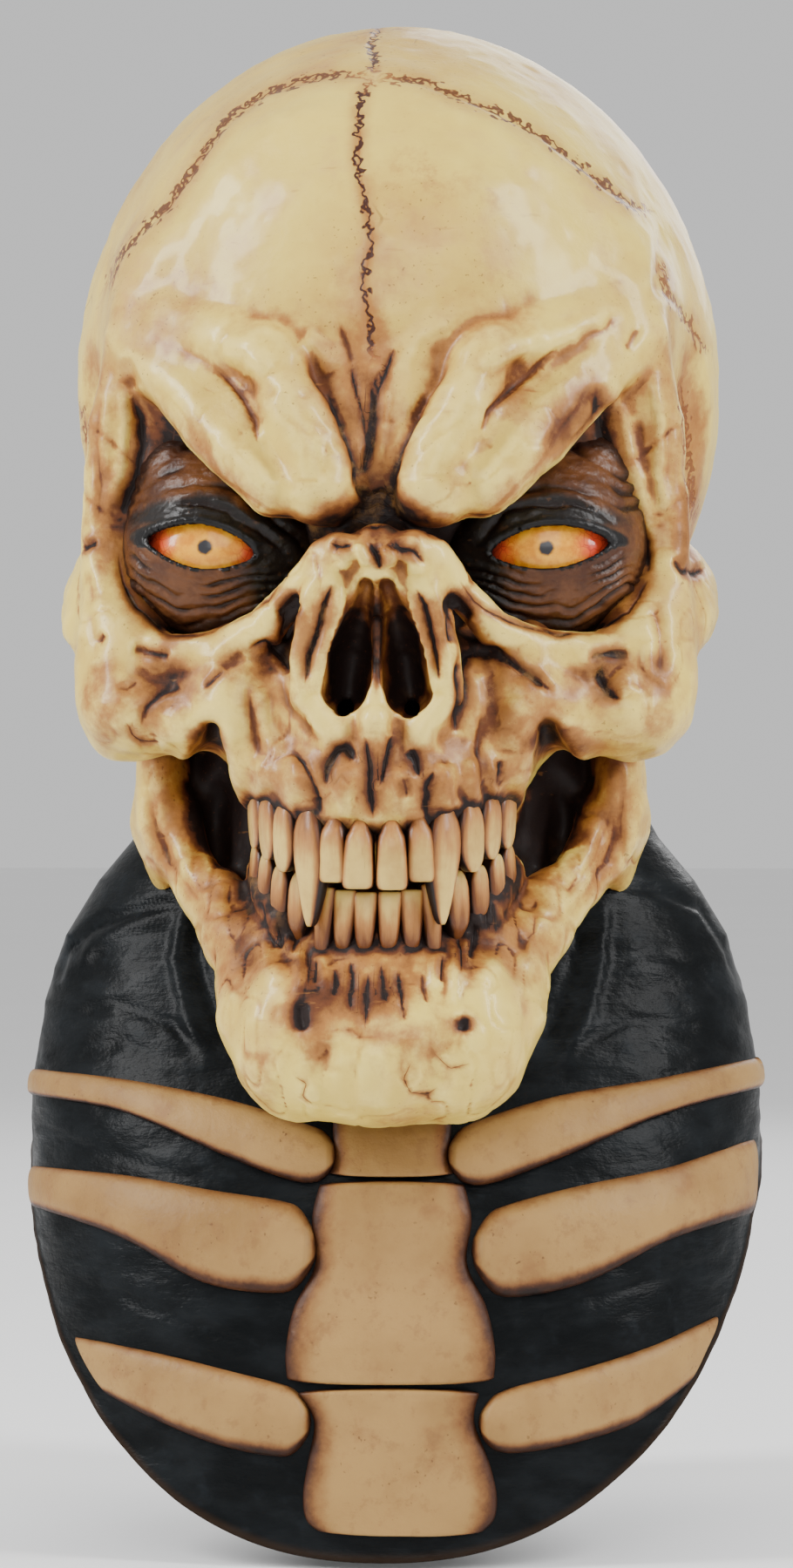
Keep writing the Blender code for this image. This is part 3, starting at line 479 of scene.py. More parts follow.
def crossings(values):
    """A point, in grid steps, in each cell that the skin crosses, and faces between such points."""
    inside = values < 0
    cells = np.array(values.shape) - 1
    count = np.zeros(cells, np.int8)
    for i, j, k in np.ndindex(2, 2, 2):
        count += inside[i:i + cells[0], j:j + cells[1], k:k + cells[2]]
    crossed = np.argwhere((count > 0) & (count < 8))
    number = np.full(cells, -1)
    number[tuple(crossed.T)] = np.arange(len(crossed))
    total, hits = np.zeros((len(crossed), 3)), np.zeros(len(crossed))
    for axis in range(3):
        unit, side, other = np.roll(np.eye(3, dtype=int), -axis, axis=0)
        for i, j in np.ndindex(2, 2):
            corner = i * side + j * other
            near, far = values[tuple((crossed + corner).T)], values[tuple((crossed + corner + unit).T)]
            cuts = (near < 0) != (far < 0)
            share = np.where(cuts, near / np.where(cuts, near - far, 1), 0)
            total += cuts[:, None] * (corner + share[:, None] * unit)
            hits += cuts
    faces = [faces_across(axis, inside, number) for axis in range(3)]
    return crossed + total / hits[:, None], np.concatenate(faces)


def skin_net(distance, low, high, step):
    """Points and four-sided faces where a distance is zero. At the end the points are pulled onto it."""
    low, high = np.minimum(low, high), np.maximum(low, high)
    places, faces = crossings(sampled(distance, low, high, step))
    points = low + step * places
    for _ in range(PULLS):
        slope = gradient_of(distance, points)
        steepness = np.maximum((slope**2).sum(axis=1), FLATTEST_SLOPE)
        move = -slope * (distance(points) / steepness)[:, None]
        length = np.maximum(np.linalg.norm(move, axis=1), 1e-9)
        points = points + move * np.minimum(1, LONGEST_PULL * step / length)[:, None]
    return points, faces


print("skins are pulled", PULLS, "times")

# %% Points and meshes
def mesh_of(name, points, faces):
    """A smooth-shaded mesh from arrays of points and of faces with equal numbers of corners."""
    mesh = bpy.data.meshes.new(name)
    corners = faces.shape[1]
    mesh.vertices.add(len(points))
    mesh.loops.add(faces.size)
    mesh.loops.foreach_set("vertex_index", faces.astype(np.int32).ravel())
    mesh.polygons.add(len(faces))
    mesh.polygons.foreach_set("loop_start", np.arange(0, faces.size, corners, dtype=np.int32))
    mesh.polygons.foreach_set("use_smooth", np.ones(len(faces), bool))
    set_points(mesh, points)
    mesh.update(calc_edges=True)
    mesh.validate()
    return mesh


def set_points(mesh, points):
    mesh.vertices.foreach_set("co", points.astype(np.float32).ravel())
    mesh.update()


def read_vectors(mesh, name):
    """The points of a mesh as an array, with the name co, or its normals, with the name normal."""
    values = np.empty(len(mesh.vertices) * 3, np.float32)
    mesh.vertices.foreach_get(name, values)
    return values.reshape(-1, 3).astype(float)


def set_mark(mesh, name, values):
    """Keeps a number at each point of the mesh, which a finish reads by its name."""
    attribute = mesh.attributes.new(name, "FLOAT", "POINT")
    attribute.data.foreach_set("value", np.asarray(values, np.float32))


print("skin maker ready")

# %% [markdown]
# ## The neck's shape
# The neck and bib are one sheet that widens from the throat to the shoulders and the chest. A table gives
# its width and its reach to the front and back at each height, from the solids. It comes before the head,
# because the neck's passage is open in the head's underside.

# %% Shape of the neck and bib
BIB_WIDTH, BIB_FRONT, BIB_BACK = 0.242, 0.102, 0.110
BIB_DROP, BACK_FLAP_DROP, BIB_SKIN = 0.137, 0.075, 0.0025
COLLAR_FRONT_DROP, COLLAR_SIDE_DROP, COLLAR_BACK_DROP = 80.0, 62.0, 58.0
SHOULDER_DROP = 99.3
ROUNDNESS = 2.3
HEM_SOFTNESS, HEM_TURN = 0.12, 3.0
Section = namedtuple("Section", "from_chin drop wide front back")
NECK = table(Section, (
    (False, 55, 50, 42, 76), (False, 62, 56, 46, 80), (False, 70, 64, 48, 84),
    (False, 75, 72, 49, 87), (False, 79, 82, 52, 90), (False, 84, 91, 56, 93),
    (False, 90, 96.5, 64, 96), (False, 97, 99.5, 76, 98), (True, 2, 100, 83, 99),
    (True, 20, 100, 92, 100), (True, 50, 100, 98, 100), (True, 101, 99, 100, 100),
))


def height_at(drop):
    return SKIN - drop * HEAD_HEIGHT / 100


CHIN = height_at(100)
NECK_TOP = height_at(NECK[0].drop)


def section_height(row):
    return CHIN - row.drop * BIB_DROP / 100 if row.from_chin else height_at(row.drop)


def neck_sizes(z):
    """Half the width and the reach to the front and to the back at each height."""
    rising = NECK[::-1]
    heights = [section_height(row) for row in rising]
    wide = BIB_WIDTH / 2 * np.interp(z, heights, [row.wide for row in rising]) / 100
    front = BIB_FRONT * np.interp(z, heights, [row.front for row in rising]) / 100
    back = BIB_BACK * np.interp(z, heights, [row.back for row in rising]) / 100
    return wide, front, back


def neck_points(turn, z, proud=0.0):
    """Points on the neck or bib. turn is 0 at the front middle and positive towards +X."""
    wide, front, back = neck_sizes(z)
    power = 2 / ROUNDNESS
    reach = np.where(np.cos(turn) > 0, front, back)
    x = np.sign(np.sin(turn)) * np.abs(np.sin(turn)) ** power * (wide + proud)
    y = -np.sign(np.cos(turn)) * np.abs(np.cos(turn)) ** power * (reach + proud)
    return np.stack(np.broadcast_arrays(x, y, z), axis=-1)


def turns_at(x, z):
    """The turns on the front of the bib whose points have these x."""
    share = np.minimum(np.abs(x) / neck_sizes(z)[0], 1)
    return np.sign(x) * np.arcsin(share ** (ROUNDNESS / 2))


def inside_neck(points):
    """Below 1 inside the neck, 1 on its outside, more beyond it, and far more above its top."""
    wide, front, back = neck_sizes(points[:, 2])
    reach = np.where(points[:, 1] < 0, front, back)
    share = (np.abs(points[:, 0]) / wide) ** ROUNDNESS + (np.abs(points[:, 1]) / reach) ** ROUNDNESS
    return np.where(points[:, 2] < NECK_TOP, share ** (1 / ROUNDNESS), 9)


def hem_height(turn):
    """The hem hangs low at the front middle and at the back, and rises to each shoulder."""
    cosine = np.cos(turn)
    drop = BACK_FLAP_DROP + (BIB_DROP - BACK_FLAP_DROP) * np.clip(0.5 + HEM_TURN * cosine, 0, 1)
    lift = np.sqrt(cosine**2 + HEM_SOFTNESS**2) / math.sqrt(1 + HEM_SOFTNESS**2)
    shoulder = height_at(SHOULDER_DROP)
    return shoulder - (drop + shoulder - CHIN) * lift


def through_three(first, middle, last, share):
    """The parabola that runs through three values at 0, a half and 1."""
    return (first * (2 * share - 1) * (share - 1) + middle * 4 * share * (1 - share)
            + last * share * (2 * share - 1))


def collar_height(turn):
    backward = (1 - np.cos(turn)) / 2
    return height_at(through_three(COLLAR_FRONT_DROP, COLLAR_SIDE_DROP, COLLAR_BACK_DROP, backward))


print("bib from", round(float(hem_height(0.0)), 3), "to", round(float(collar_height(math.pi)), 3))

# %% [markdown]
# ## Carving by the picture
# The sculptor's furrows and dents follow no rule, so they are written down as strokes: how wide and deep
# each one is, the columns and rows by turns where it runs in the picture, and how dark the brown lies in
# it. A stroke moves skin that faces the viewer along its normal, and leaves its darkness on the points.

# %% Strokes and pools
Stroke = namedtuple("Stroke", "name width depth points stain", defaults=(0,))
Pool = namedtuple("Pool", "name behind spots")
Spot = namedtuple("Spot", "column row wide high stain")
ANYWHERE = 60
Bump = namedtuple("Bump", "height size seed")
LINE_SHARE, THIN_STROKE, NARROWEST_REACH = 0.27, 5.5, 12
STROKE_WOBBLE, WOBBLE_SIZE = 2.0, 0.007
POOL_EDGE = Bump(0.15, 0.006, 3)
LATTICE = 32


def lattice_noise(points, size, seed):
    """Smooth random numbers from -1 to 1 with lumps of one size."""
    lattice = np.random.default_rng(seed).uniform(-1, 1, (LATTICE, LATTICE, LATTICE))
    scaled = points / size
    cell = np.floor(scaled).astype(int)
    share = scaled - cell
    share = share * share * (3 - 2 * share)
    total = np.zeros(len(points))
    for near in np.ndindex(2, 2, 2):
        weight = np.ones(len(points))
        for axis in range(3):
            weight = weight * (share[:, axis] if near[axis] else 1 - share[:, axis])
        total += weight * lattice[tuple((cell + near).T % LATTICE)]
    return total


def bumpy(points, *bumps):
    """Uneven heights: the sum of smooth noise of several heights and sizes."""
    return sum(bump.height * lattice_noise(points, bump.size, bump.seed) for bump in bumps)


def facing(normals, sharpness):
    """1 where the skin faces the viewer, falling to 0 where it turns away."""
    return np.clip(-(normals @ np.array(forward)) * sharpness, 0, 1)


def fading_ends(travel, sharpness):
    return np.clip(np.minimum(travel, 1 - travel) * sharpness, 0, 1)


def along_stroke(stroke, pixels, reach):
    """Which pixels are near a stroke, how far off it they are, on which side, and how far along it."""
    stops = np.reshape(stroke.points, (-1, 2)).astype(float)
    low, high = stops.min(axis=0) - reach, stops.max(axis=0) + reach
    near = np.flatnonzero(((pixels > low) & (pixels < high)).all(axis=1))
    places = pixels[near]
    lengths = np.linalg.norm(np.diff(stops, axis=0), axis=1)
    starts = np.concatenate([[0], np.cumsum(lengths)])
    best, side, travel = np.full(len(near), np.inf), np.ones(len(near)), np.zeros(len(near))
    for start, end, length, before in zip(stops, stops[1:], lengths, starts):
        share = np.clip((places - start) @ (end - start) / length**2, 0, 1)
        offset = places - start - share[:, None] * (end - start)
        gap = np.linalg.norm(offset, axis=1)
        closer = gap < best
        cross = (end - start)[0] * offset[:, 1] - (end - start)[1] * offset[:, 0]
        best = np.where(closer, gap, best)
        side = np.where(closer, np.sign(cross), side)
        travel = np.where(closer, (before + share * length) / starts[-1], travel)
    return near, best, side, travel


def carve(points, normals, strokes, pools):
    """How far each point moves out, how much stain it takes, and where dark lines run: the signed distance
    to the nearest one in its own half widths, the distance in pixels, its ink."""
    wobble = np.stack([lattice_noise(points, WOBBLE_SIZE, seed) for seed in (1, 2)], axis=1)
    pixels = seen_at(points) + STROKE_WOBBLE * wobble
    toward = facing(normals, 3)
    move, stain = np.zeros(len(points)), np.zeros(len(points))
    line, far, ink = np.full(len(points), 9.0), np.full(len(points), 99.0), np.zeros(len(points))
    for stroke in strokes:
        near, gap, side, travel = along_stroke(stroke, pixels, max(stroke.width * 3, NARROWEST_REACH))
        strength = fading_ends(travel, 5) ** 0.6 * toward[near]
        share = gap / stroke.width
        move[near] -= stroke.depth / 1000 * (1 - 0.5 * share**2) * np.exp(-0.7 * share**2) * strength
        if stroke.stain == 0:
            continue
        spread = np.exp(-0.32 * share**2) * strength * stroke.stain
        stain[near] = np.maximum(stain[near], spread) + 0.3 * np.minimum(stain[near], spread)
        closer = gap < far[near]
        chosen = near[closer]
        far[chosen] = gap[closer]
        line[chosen] = (gap * side / (LINE_SHARE * stroke.width))[closer]
        ink[chosen] = (stroke.stain * min(1, THIN_STROKE / stroke.width) ** 2 * strength)[closer]
    fronts = -points[:, 1] * 100 / HEAD_DEPTH
    edge = bumpy(points, POOL_EDGE)
    for pool in pools:
        for spot in table(Spot, pool.spots):
            offset = (pixels - (spot.column, spot.row)) / (spot.wide, spot.high)
            share = np.linalg.norm(offset, axis=1) + edge
            spread = spot.stain * np.clip(2.0 - 1.8 * share, 0, 1) * toward
            stain += np.where(fronts < pool.behind, spread, 0)
    return move, stain, (line, far, ink)


print("a stroke is written as", Stroke._fields)

# %% Strokes on the brows and temples, in pixels of the picture
BROW_STROKES = table(Stroke, (
    ("outer_roll_left", 12, -0.6, (122, 395, 178, 427, 225, 471, 266, 518, 310, 562)),
    ("inner_roll_left", 16, -0.6, (316, 428, 340, 478, 362, 528, 370, 565)),
    ("upper_lobe_left", 14, -1.4, (256, 398, 284, 402, 312, 424)),
    ("top_lobe_left", 15, -1.4, (346, 388, 368, 404, 384, 425)),
    ("brow_slit_left", 4.5, 1.1, (246, 422, 262, 436, 278, 456, 292, 483, 295, 508), 0.16),
    ("brow_dip_left", 13, 0.8, (280, 436, 300, 444, 318, 454)),
    ("brow_valley_left", 15, 0.7, (296, 508, 312, 524, 326, 548)),
    ("bulb_dimple_left", 9, 0.4, (334, 575, 352, 583, 372, 576)),
    ("outer_roll_right", 12, -0.6, (722, 356, 674, 411, 626, 459, 581, 511, 558, 556)),
    ("inner_roll_right", 16, -0.6, (546, 428, 522, 470, 502, 520, 488, 562)),
    ("upper_fold_right", 12, -1.5, (700, 364, 640, 388, 590, 400, 552, 424)),
    ("far_fold_right", 15, -1.1, (458, 428, 482, 388, 530, 362, 580, 352)),
    ("brow_slit_right", 4, 1.3, (640, 400, 614, 424, 587, 446, 564, 472, 553, 494), 0.16),
    ("brow_dip_right", 14, 0.9, (556, 434, 580, 424, 606, 414)),
    ("brow_valley_right", 15, 0.7, (552, 496, 540, 520, 530, 545)),
    ("fold_wash_right", 8, 0.7, (660, 385, 690, 378, 712, 362), 0.14),
    ("pit_right", 6, 0.8, (490, 456, 478, 470, 470, 482), 0.14),
    ("wedge", 24, 0.5, (432, 430, 431, 470, 430, 520, 430, 560), 0.06),
    ("bulb_edge_left", 5, 1.2, (376, 452, 386, 476, 400, 506, 410, 538, 414, 570), 0.34),
    ("bulb_edge_right", 5, 1.2, (490, 452, 476, 480, 461, 512, 450, 548, 452, 585), 0.34),
    ("centre_crack", 5, 1.0, (436, 425, 427, 450, 427, 480, 424, 512, 418, 545), 0.55),
    ("centre_branch", 4, 0.8, (452, 400, 444, 425, 436, 446, 428, 470), 0.5),
    ("wedge_fold_left", 4, 0.7, (402, 420, 408, 450, 416, 480, 420, 510), 0.3),
    ("wedge_fold_right", 5, -0.8, (446, 450, 440, 490, 434, 530)),
    ("far_frown_left", 5, 0.6, (388, 372, 398, 398, 404, 420), 0.18),
    ("forehead_edge_left", 18, -1.3, (150, 345, 182, 288, 224, 240, 268, 186, 322, 140, 396, 114)),
    ("forehead_edge_right", 18, -1.3, (470, 116, 540, 138, 600, 172, 656, 214, 700, 252, 728, 290)),
    ("temple_step_left", 8, 1.1, (126, 262, 120, 305, 116, 350)),
    ("temple_step_right", 8, 1.4, (757, 262, 757, 300, 754, 345)),
    ("corner_left", 6, 1.7, (152, 456, 160, 480, 165, 512, 158, 545, 140, 590), 0.5),
    ("corner_ridge_left", 7, -1.2, (138, 440, 142, 480, 140, 530, 128, 580)),
    ("temple_groove_left", 6, 0.9, (116, 455, 110, 505, 114, 560, 112, 600), 0.12),
    ("frontal_dent_left", 9, 1.2, (146, 408, 150, 430, 154, 446), 0.06),
    ("corner_right", 7, 2.2, (684, 440, 690, 490, 704, 545, 722, 588, 738, 622, 742, 656), 0.62),
    ("corner_ridge_right", 10, -1.6, (697, 430, 716, 490, 735, 556, 748, 618)),
    ("temple_groove_right", 9, 1.2, (733, 480, 734, 510, 738, 545), 0.14),
    ("temple_ridge_right", 8, -1.3, (751, 430, 760, 490, 756, 540, 762, 590)),
    ("frontal_dent_right", 6, 0.9, (732, 378, 726, 392, 720, 402), 0.08),
    ("socket_rim_left", 5, 0.9, (136, 638, 142, 672, 158, 700, 189, 724, 225, 726, 266, 710, 307, 686,
        326, 662), 0.6),
    ("socket_rim_right", 5, 0.9, (524, 664, 545, 690, 585, 712, 640, 727, 690, 722, 722, 704,
        742, 664), 0.6),
))
print(len(BROW_STROKES), "strokes on the brows and temples")

# %% Strokes on the nose and cheeks
CHEEK_STROKES = table(Stroke, (
    ("nose_slot_left", 5.5, 2.2, (380, 672, 366, 718, 354, 753, 350, 786), 0.7),
    ("nose_rib_left", 7, -1.6, (394, 674, 382, 710, 370, 750, 366, 795)),
    ("nose_rib_far_left", 6, -1.3, (358, 662, 348, 700, 340, 740, 338, 780)),
    ("nose_pit_left", 10, 2.8, (318, 708, 328, 702, 338, 694, 346, 690), 0.8),
    ("nose_pit_tail_left", 5, 1.4, (332, 700, 330, 716, 326, 736), 0.5),
    ("nose_slot_right", 5.5, 2.2, (478, 676, 490, 716, 499, 752, 506, 782), 0.66),
    ("nose_rib_right", 6, -1.6, (468, 680, 480, 716, 490, 756, 494, 795)),
    ("nose_rib_far_right", 6, -1.3, (496, 672, 506, 704, 512, 740, 514, 780)),
    ("nose_pit_right", 11, 2.8, (510, 690, 524, 698, 536, 714), 0.8),
    ("nose_pit_tail_right", 5, 1.4, (516, 704, 516, 722, 518, 738), 0.5),
    ("nose_crack_right", 6, 1.9, (548, 746, 534, 750, 528, 768, 529, 800, 524, 840), 0.75),
    ("cheek_arc_left", 5.5, 1.6, (286, 744, 304, 738, 320, 750, 332, 772), 0.5),
    ("cheek_blotch_left", 9, 1.2, (280, 752, 266, 762, 252, 770), 0.28),
    ("cheek_tail_left", 5, 1.0, (256, 770, 244, 780, 233, 790), 0.35),
    ("cheek_roll_left", 12, -1.5, (296, 790, 306, 825, 318, 870)),
    ("cheek_fold_left", 6, 1.0, (284, 790, 290, 826, 296, 868), 0.15),
    ("cheek_crease_left", 6, 0.9, (322, 780, 330, 810, 352, 836, 372, 852), 0.12),
    ("cheek_arc_right", 5.5, 1.7, (546, 746, 570, 748, 592, 762, 612, 778, 634, 794), 0.42),
    ("cheek_blotch_right", 10, 1.2, (584, 774, 604, 778, 622, 790), 0.25),
    ("cheek_roll_right", 12, -1.4, (546, 772, 548, 810, 540, 850)),
    ("cheek_fold_right", 6, 1.0, (552, 820, 549, 862, 556, 905, 560, 925), 0.25),
    ("cheek_dome_right", 18, -1.4, (590, 800, 592, 830, 586, 862)),
    ("cheekbone_dent_left", 8, 2.1, (152, 744, 172, 748, 194, 754), 0.42),
    ("cheekbone_line_left", 6, 1.1, (206, 786, 184, 796, 168, 812, 158, 834), 0.22),
    ("cheekbone_mark_left", 5, 0.7, (134, 790, 146, 790, 156, 782), 0.25),
    ("cheekbone_crack_left", 3.5, 0.5, (144, 828, 152, 844, 164, 852, 182, 850), 0.45),
    ("cheekbone_hump_left", 16, -1.5, (196, 812, 204, 836, 180, 850)),
    ("cheekbone_dent_right", 8, 2.0, (676, 756, 694, 752, 722, 748), 0.42),
    ("cheekbone_slit_right", 5, 1.3, (690, 764, 686, 778, 694, 792, 714, 804), 0.5),
    ("cheekbone_hump_right", 14, -1.4, (706, 772, 716, 784, 722, 800)),
    ("cheekbone_fold_right", 9, 1.2, (750, 690, 762, 730, 758, 780), 0.06),
    ("arch_notch_right", 6, 1.6, (773, 640, 786, 656, 804, 656, 816, 648), 0.45),
    ("arch_notch_left", 5, 1.5, (86, 622, 98, 628, 112, 622), 0.35),
    ("arch_pit_left", 5, 1.1, (112, 738, 117, 732, 120, 726), 0.3),
    ("arch_line_left", 7, 0.9, (96, 640, 104, 700, 110, 760), 0.06),
))
print(len(CHEEK_STROKES), "strokes on the nose and cheeks")

# %% Strokes on the nose bone and above the teeth
GUM_STROKES = table(Stroke, (
    ("nasal_bump_1", 8, -2.0, (386, 632, 396, 640, 392, 654)),
    ("nasal_bump_2", 7, -1.8, (408, 624, 414, 638, 420, 650)),
    ("nasal_bump_3", 7, -1.8, (440, 626, 450, 640, 446, 652)),
    ("nasal_bump_4", 8, -2.0, (466, 634, 474, 644, 480, 658)),
    ("nasal_crack_1", 5, 1.4, (426, 620, 431, 636, 437, 655), 0.6),
    ("nasal_crack_2", 5, 1.2, (380, 622, 392, 628, 402, 624), 0.6),
    ("nasal_crack_3", 5, 1.2, (452, 620, 462, 632, 476, 634, 484, 646), 0.55),
    ("nasal_spot", 6, 0.7, (444, 622, 452, 632), 0.4),
    ("nose_root_line", 5, 1.3, (388, 606, 408, 596, 430, 602, 450, 594, 474, 606), 0.6),
    ("nose_root_fold", 5, 1.3, (410, 560, 424, 572, 438, 566, 452, 576), 0.6),
    ("nose_root_mid", 5, 1.2, (404, 584, 422, 586, 436, 580, 458, 590), 0.5),
    ("root_arch_left", 6, 1.5, (374, 902, 376, 880, 386, 862, 398, 858, 408, 874), 0.6),
    ("root_bulge_left", 13, -1.7, (394, 880, 394, 910, 400, 940)),
    ("root_inner_left", 5, 0.5, (384, 902, 394, 890, 404, 900), 0.16),
    ("middle_line_left", 5, 1.3, (420, 846, 423, 870, 425, 900, 430, 940), 0.65),
    ("middle_line_right", 5, 1.2, (449, 846, 442, 872, 437, 902), 0.55),
    ("root_bulge_right", 13, -1.7, (461, 880, 460, 910, 456, 940)),
    ("root_slit_right", 5, 1.5, (470, 862, 477, 874, 480, 890), 0.65),
    ("root_pit_right", 5, 0.8, (462, 892, 465, 902, 466, 914), 0.4),
    ("fang_root_right", 11, -2.2, (512, 876, 510, 900, 518, 932)),
    ("fang_edge_right", 6, 1.4, (497, 884, 488, 905, 490, 930, 492, 948), 0.5),
    ("fang_root_left", 16, -1.9, (340, 868, 342, 900, 336, 930)),
    ("fang_edge_left", 5, 1.3, (334, 862, 350, 876, 362, 906, 369, 936), 0.4),
    ("premolar_root_right", 9, -1.3, (543, 870, 545, 900, 545, 925)),
    ("premolar_root_far_right", 8, -1.2, (566, 880, 568, 900, 566, 918)),
    ("premolar_root_left", 10, -1.2, (304, 868, 302, 896, 298, 920)),
    ("pocket_slit_right", 6, 1.2, (576, 872, 572, 890, 570, 904), 0.4),
))
print(len(GUM_STROKES), "strokes on the nose bone and above the teeth")

# %% Strokes on the jaw and chin, and painted shade at the foot of the brows
JAW_STROKES = table(Stroke, (
    ("ramus_line_left", 8, 1.1, (168, 905, 180, 960, 206, 1010, 236, 1050), 0.10),
    ("ramus_ridge_left", 8, -1.4, (158, 900, 166, 950, 188, 1000)),
    ("ramus_line_right", 8, 1.2, (716, 905, 708, 960, 684, 1012, 656, 1052), 0.14),
    ("ramus_fold_right", 7, 0.9, (702, 930, 684, 985, 652, 1030), 0.12),
    ("ramus_ridge_right", 9, -1.4, (735, 905, 728, 960, 700, 1016)),
    ("jaw_hole_left", 5, 1.2, (336, 1068, 340, 1082, 338, 1096), 0.45),
    ("jaw_hole_right", 5, 1.2, (542, 1062, 543, 1082, 540, 1100), 0.4),
    ("jaw_slit_right", 5, 1.2, (556, 1030, 560, 1050, 558, 1070), 0.45),
    ("jaw_slit_left", 5, 1.0, (300, 1048, 308, 1070, 316, 1090), 0.3),
    ("low_root_1", 8, -1.2, (366, 1096, 372, 1116, 376, 1140)),
    ("low_root_2", 9, -1.4, (330, 1072, 346, 1110, 352, 1150)),
    ("low_root_3", 9, -1.4, (536, 1072, 526, 1110, 520, 1150)),
    ("low_root_4", 8, -1.2, (506, 1092, 502, 1112, 500, 1136)),
    ("jaw_bulge_left", 16, -1.2, (278, 1050, 300, 1090, 318, 1130)),
    ("jaw_bulge_right", 16, -1.2, (588, 1050, 572, 1090, 558, 1130)),
    ("jaw_root_left_1", 3.4, 0.9, (296, 1036, 301, 1052, 303, 1066), 0.5),
    ("jaw_root_left_2", 3.4, 0.9, (318, 1058, 322, 1074, 322, 1090), 0.5),
    ("jaw_root_left_3", 3.4, 0.8, (362, 1100, 364, 1116, 362, 1130), 0.4),
    ("jaw_root_right_1", 3.4, 0.9, (526, 1078, 529, 1096, 528, 1116), 0.5),
    ("jaw_root_right_2", 3.4, 0.9, (568, 1036, 570, 1052, 567, 1070), 0.5),
    ("jaw_root_right_3", 3.4, 0.8, (508, 1098, 508, 1112, 506, 1128), 0.4),
    ("chin_edge_left", 6, 1.0, (352, 1088, 354, 1120, 350, 1150), 0.22),
    ("chin_line_1", 3.2, 0.9, (385, 1114, 386, 1130, 383, 1146), 0.36),
    ("chin_line_2", 3.2, 0.9, (403, 1104, 405, 1134, 402, 1160), 0.4),
    ("chin_line_3", 3.2, 0.9, (423, 1118, 421, 1142, 419, 1178), 0.44),
    ("chin_line_4", 3.2, 0.9, (438, 1108, 440, 1128, 443, 1150), 0.44),
    ("chin_line_5", 3.2, 0.9, (457, 1114, 461, 1140, 463, 1172), 0.36),
    ("chin_line_6", 3.2, 0.9, (484, 1120, 487, 1136, 492, 1152), 0.26),
    ("chin_hole_left", 8, 2.0, (345, 1150, 343, 1164, 347, 1182), 0.7),
    ("chin_hole_right", 8, 1.8, (530, 1166, 533, 1184), 0.6),
    ("chin_crack_right", 2, 0.3, (472, 1222, 463, 1238, 470, 1254, 490, 1260, 503, 1250), 0.4),
    ("chin_crack_left", 2, 0.3, (338, 1236, 350, 1244, 346, 1258, 357, 1268), 0.35),
    ("chin_crack_side", 2, 0.3, (500, 1208, 518, 1226, 540, 1220), 0.3),
    ("chin_ridge", 30, -1.6, (428, 1192, 432, 1240, 430, 1285)),
    ("chin_valley_left", 15, 1.5, (374, 1196, 366, 1236, 380, 1280)),
    ("chin_valley_right", 15, 1.5, (490, 1196, 498, 1236, 484, 1280)),
    # Painted shade: a brown band along the lower edge of each brow, where shade falls under it.
    ("brow_foot_left", 9, 0.2, (160, 470, 210, 522, 260, 556, 310, 586, 360, 602, 395, 592), 0.4),
    ("brow_foot_right", 9, 0.2, (462, 578, 482, 598, 520, 605, 570, 580, 620, 530, 658, 474,
        690, 422), 0.4),
))
STROKES = BROW_STROKES + CHEEK_STROKES + GUM_STROKES + JAW_STROKES
print(len(STROKES), "strokes in all")
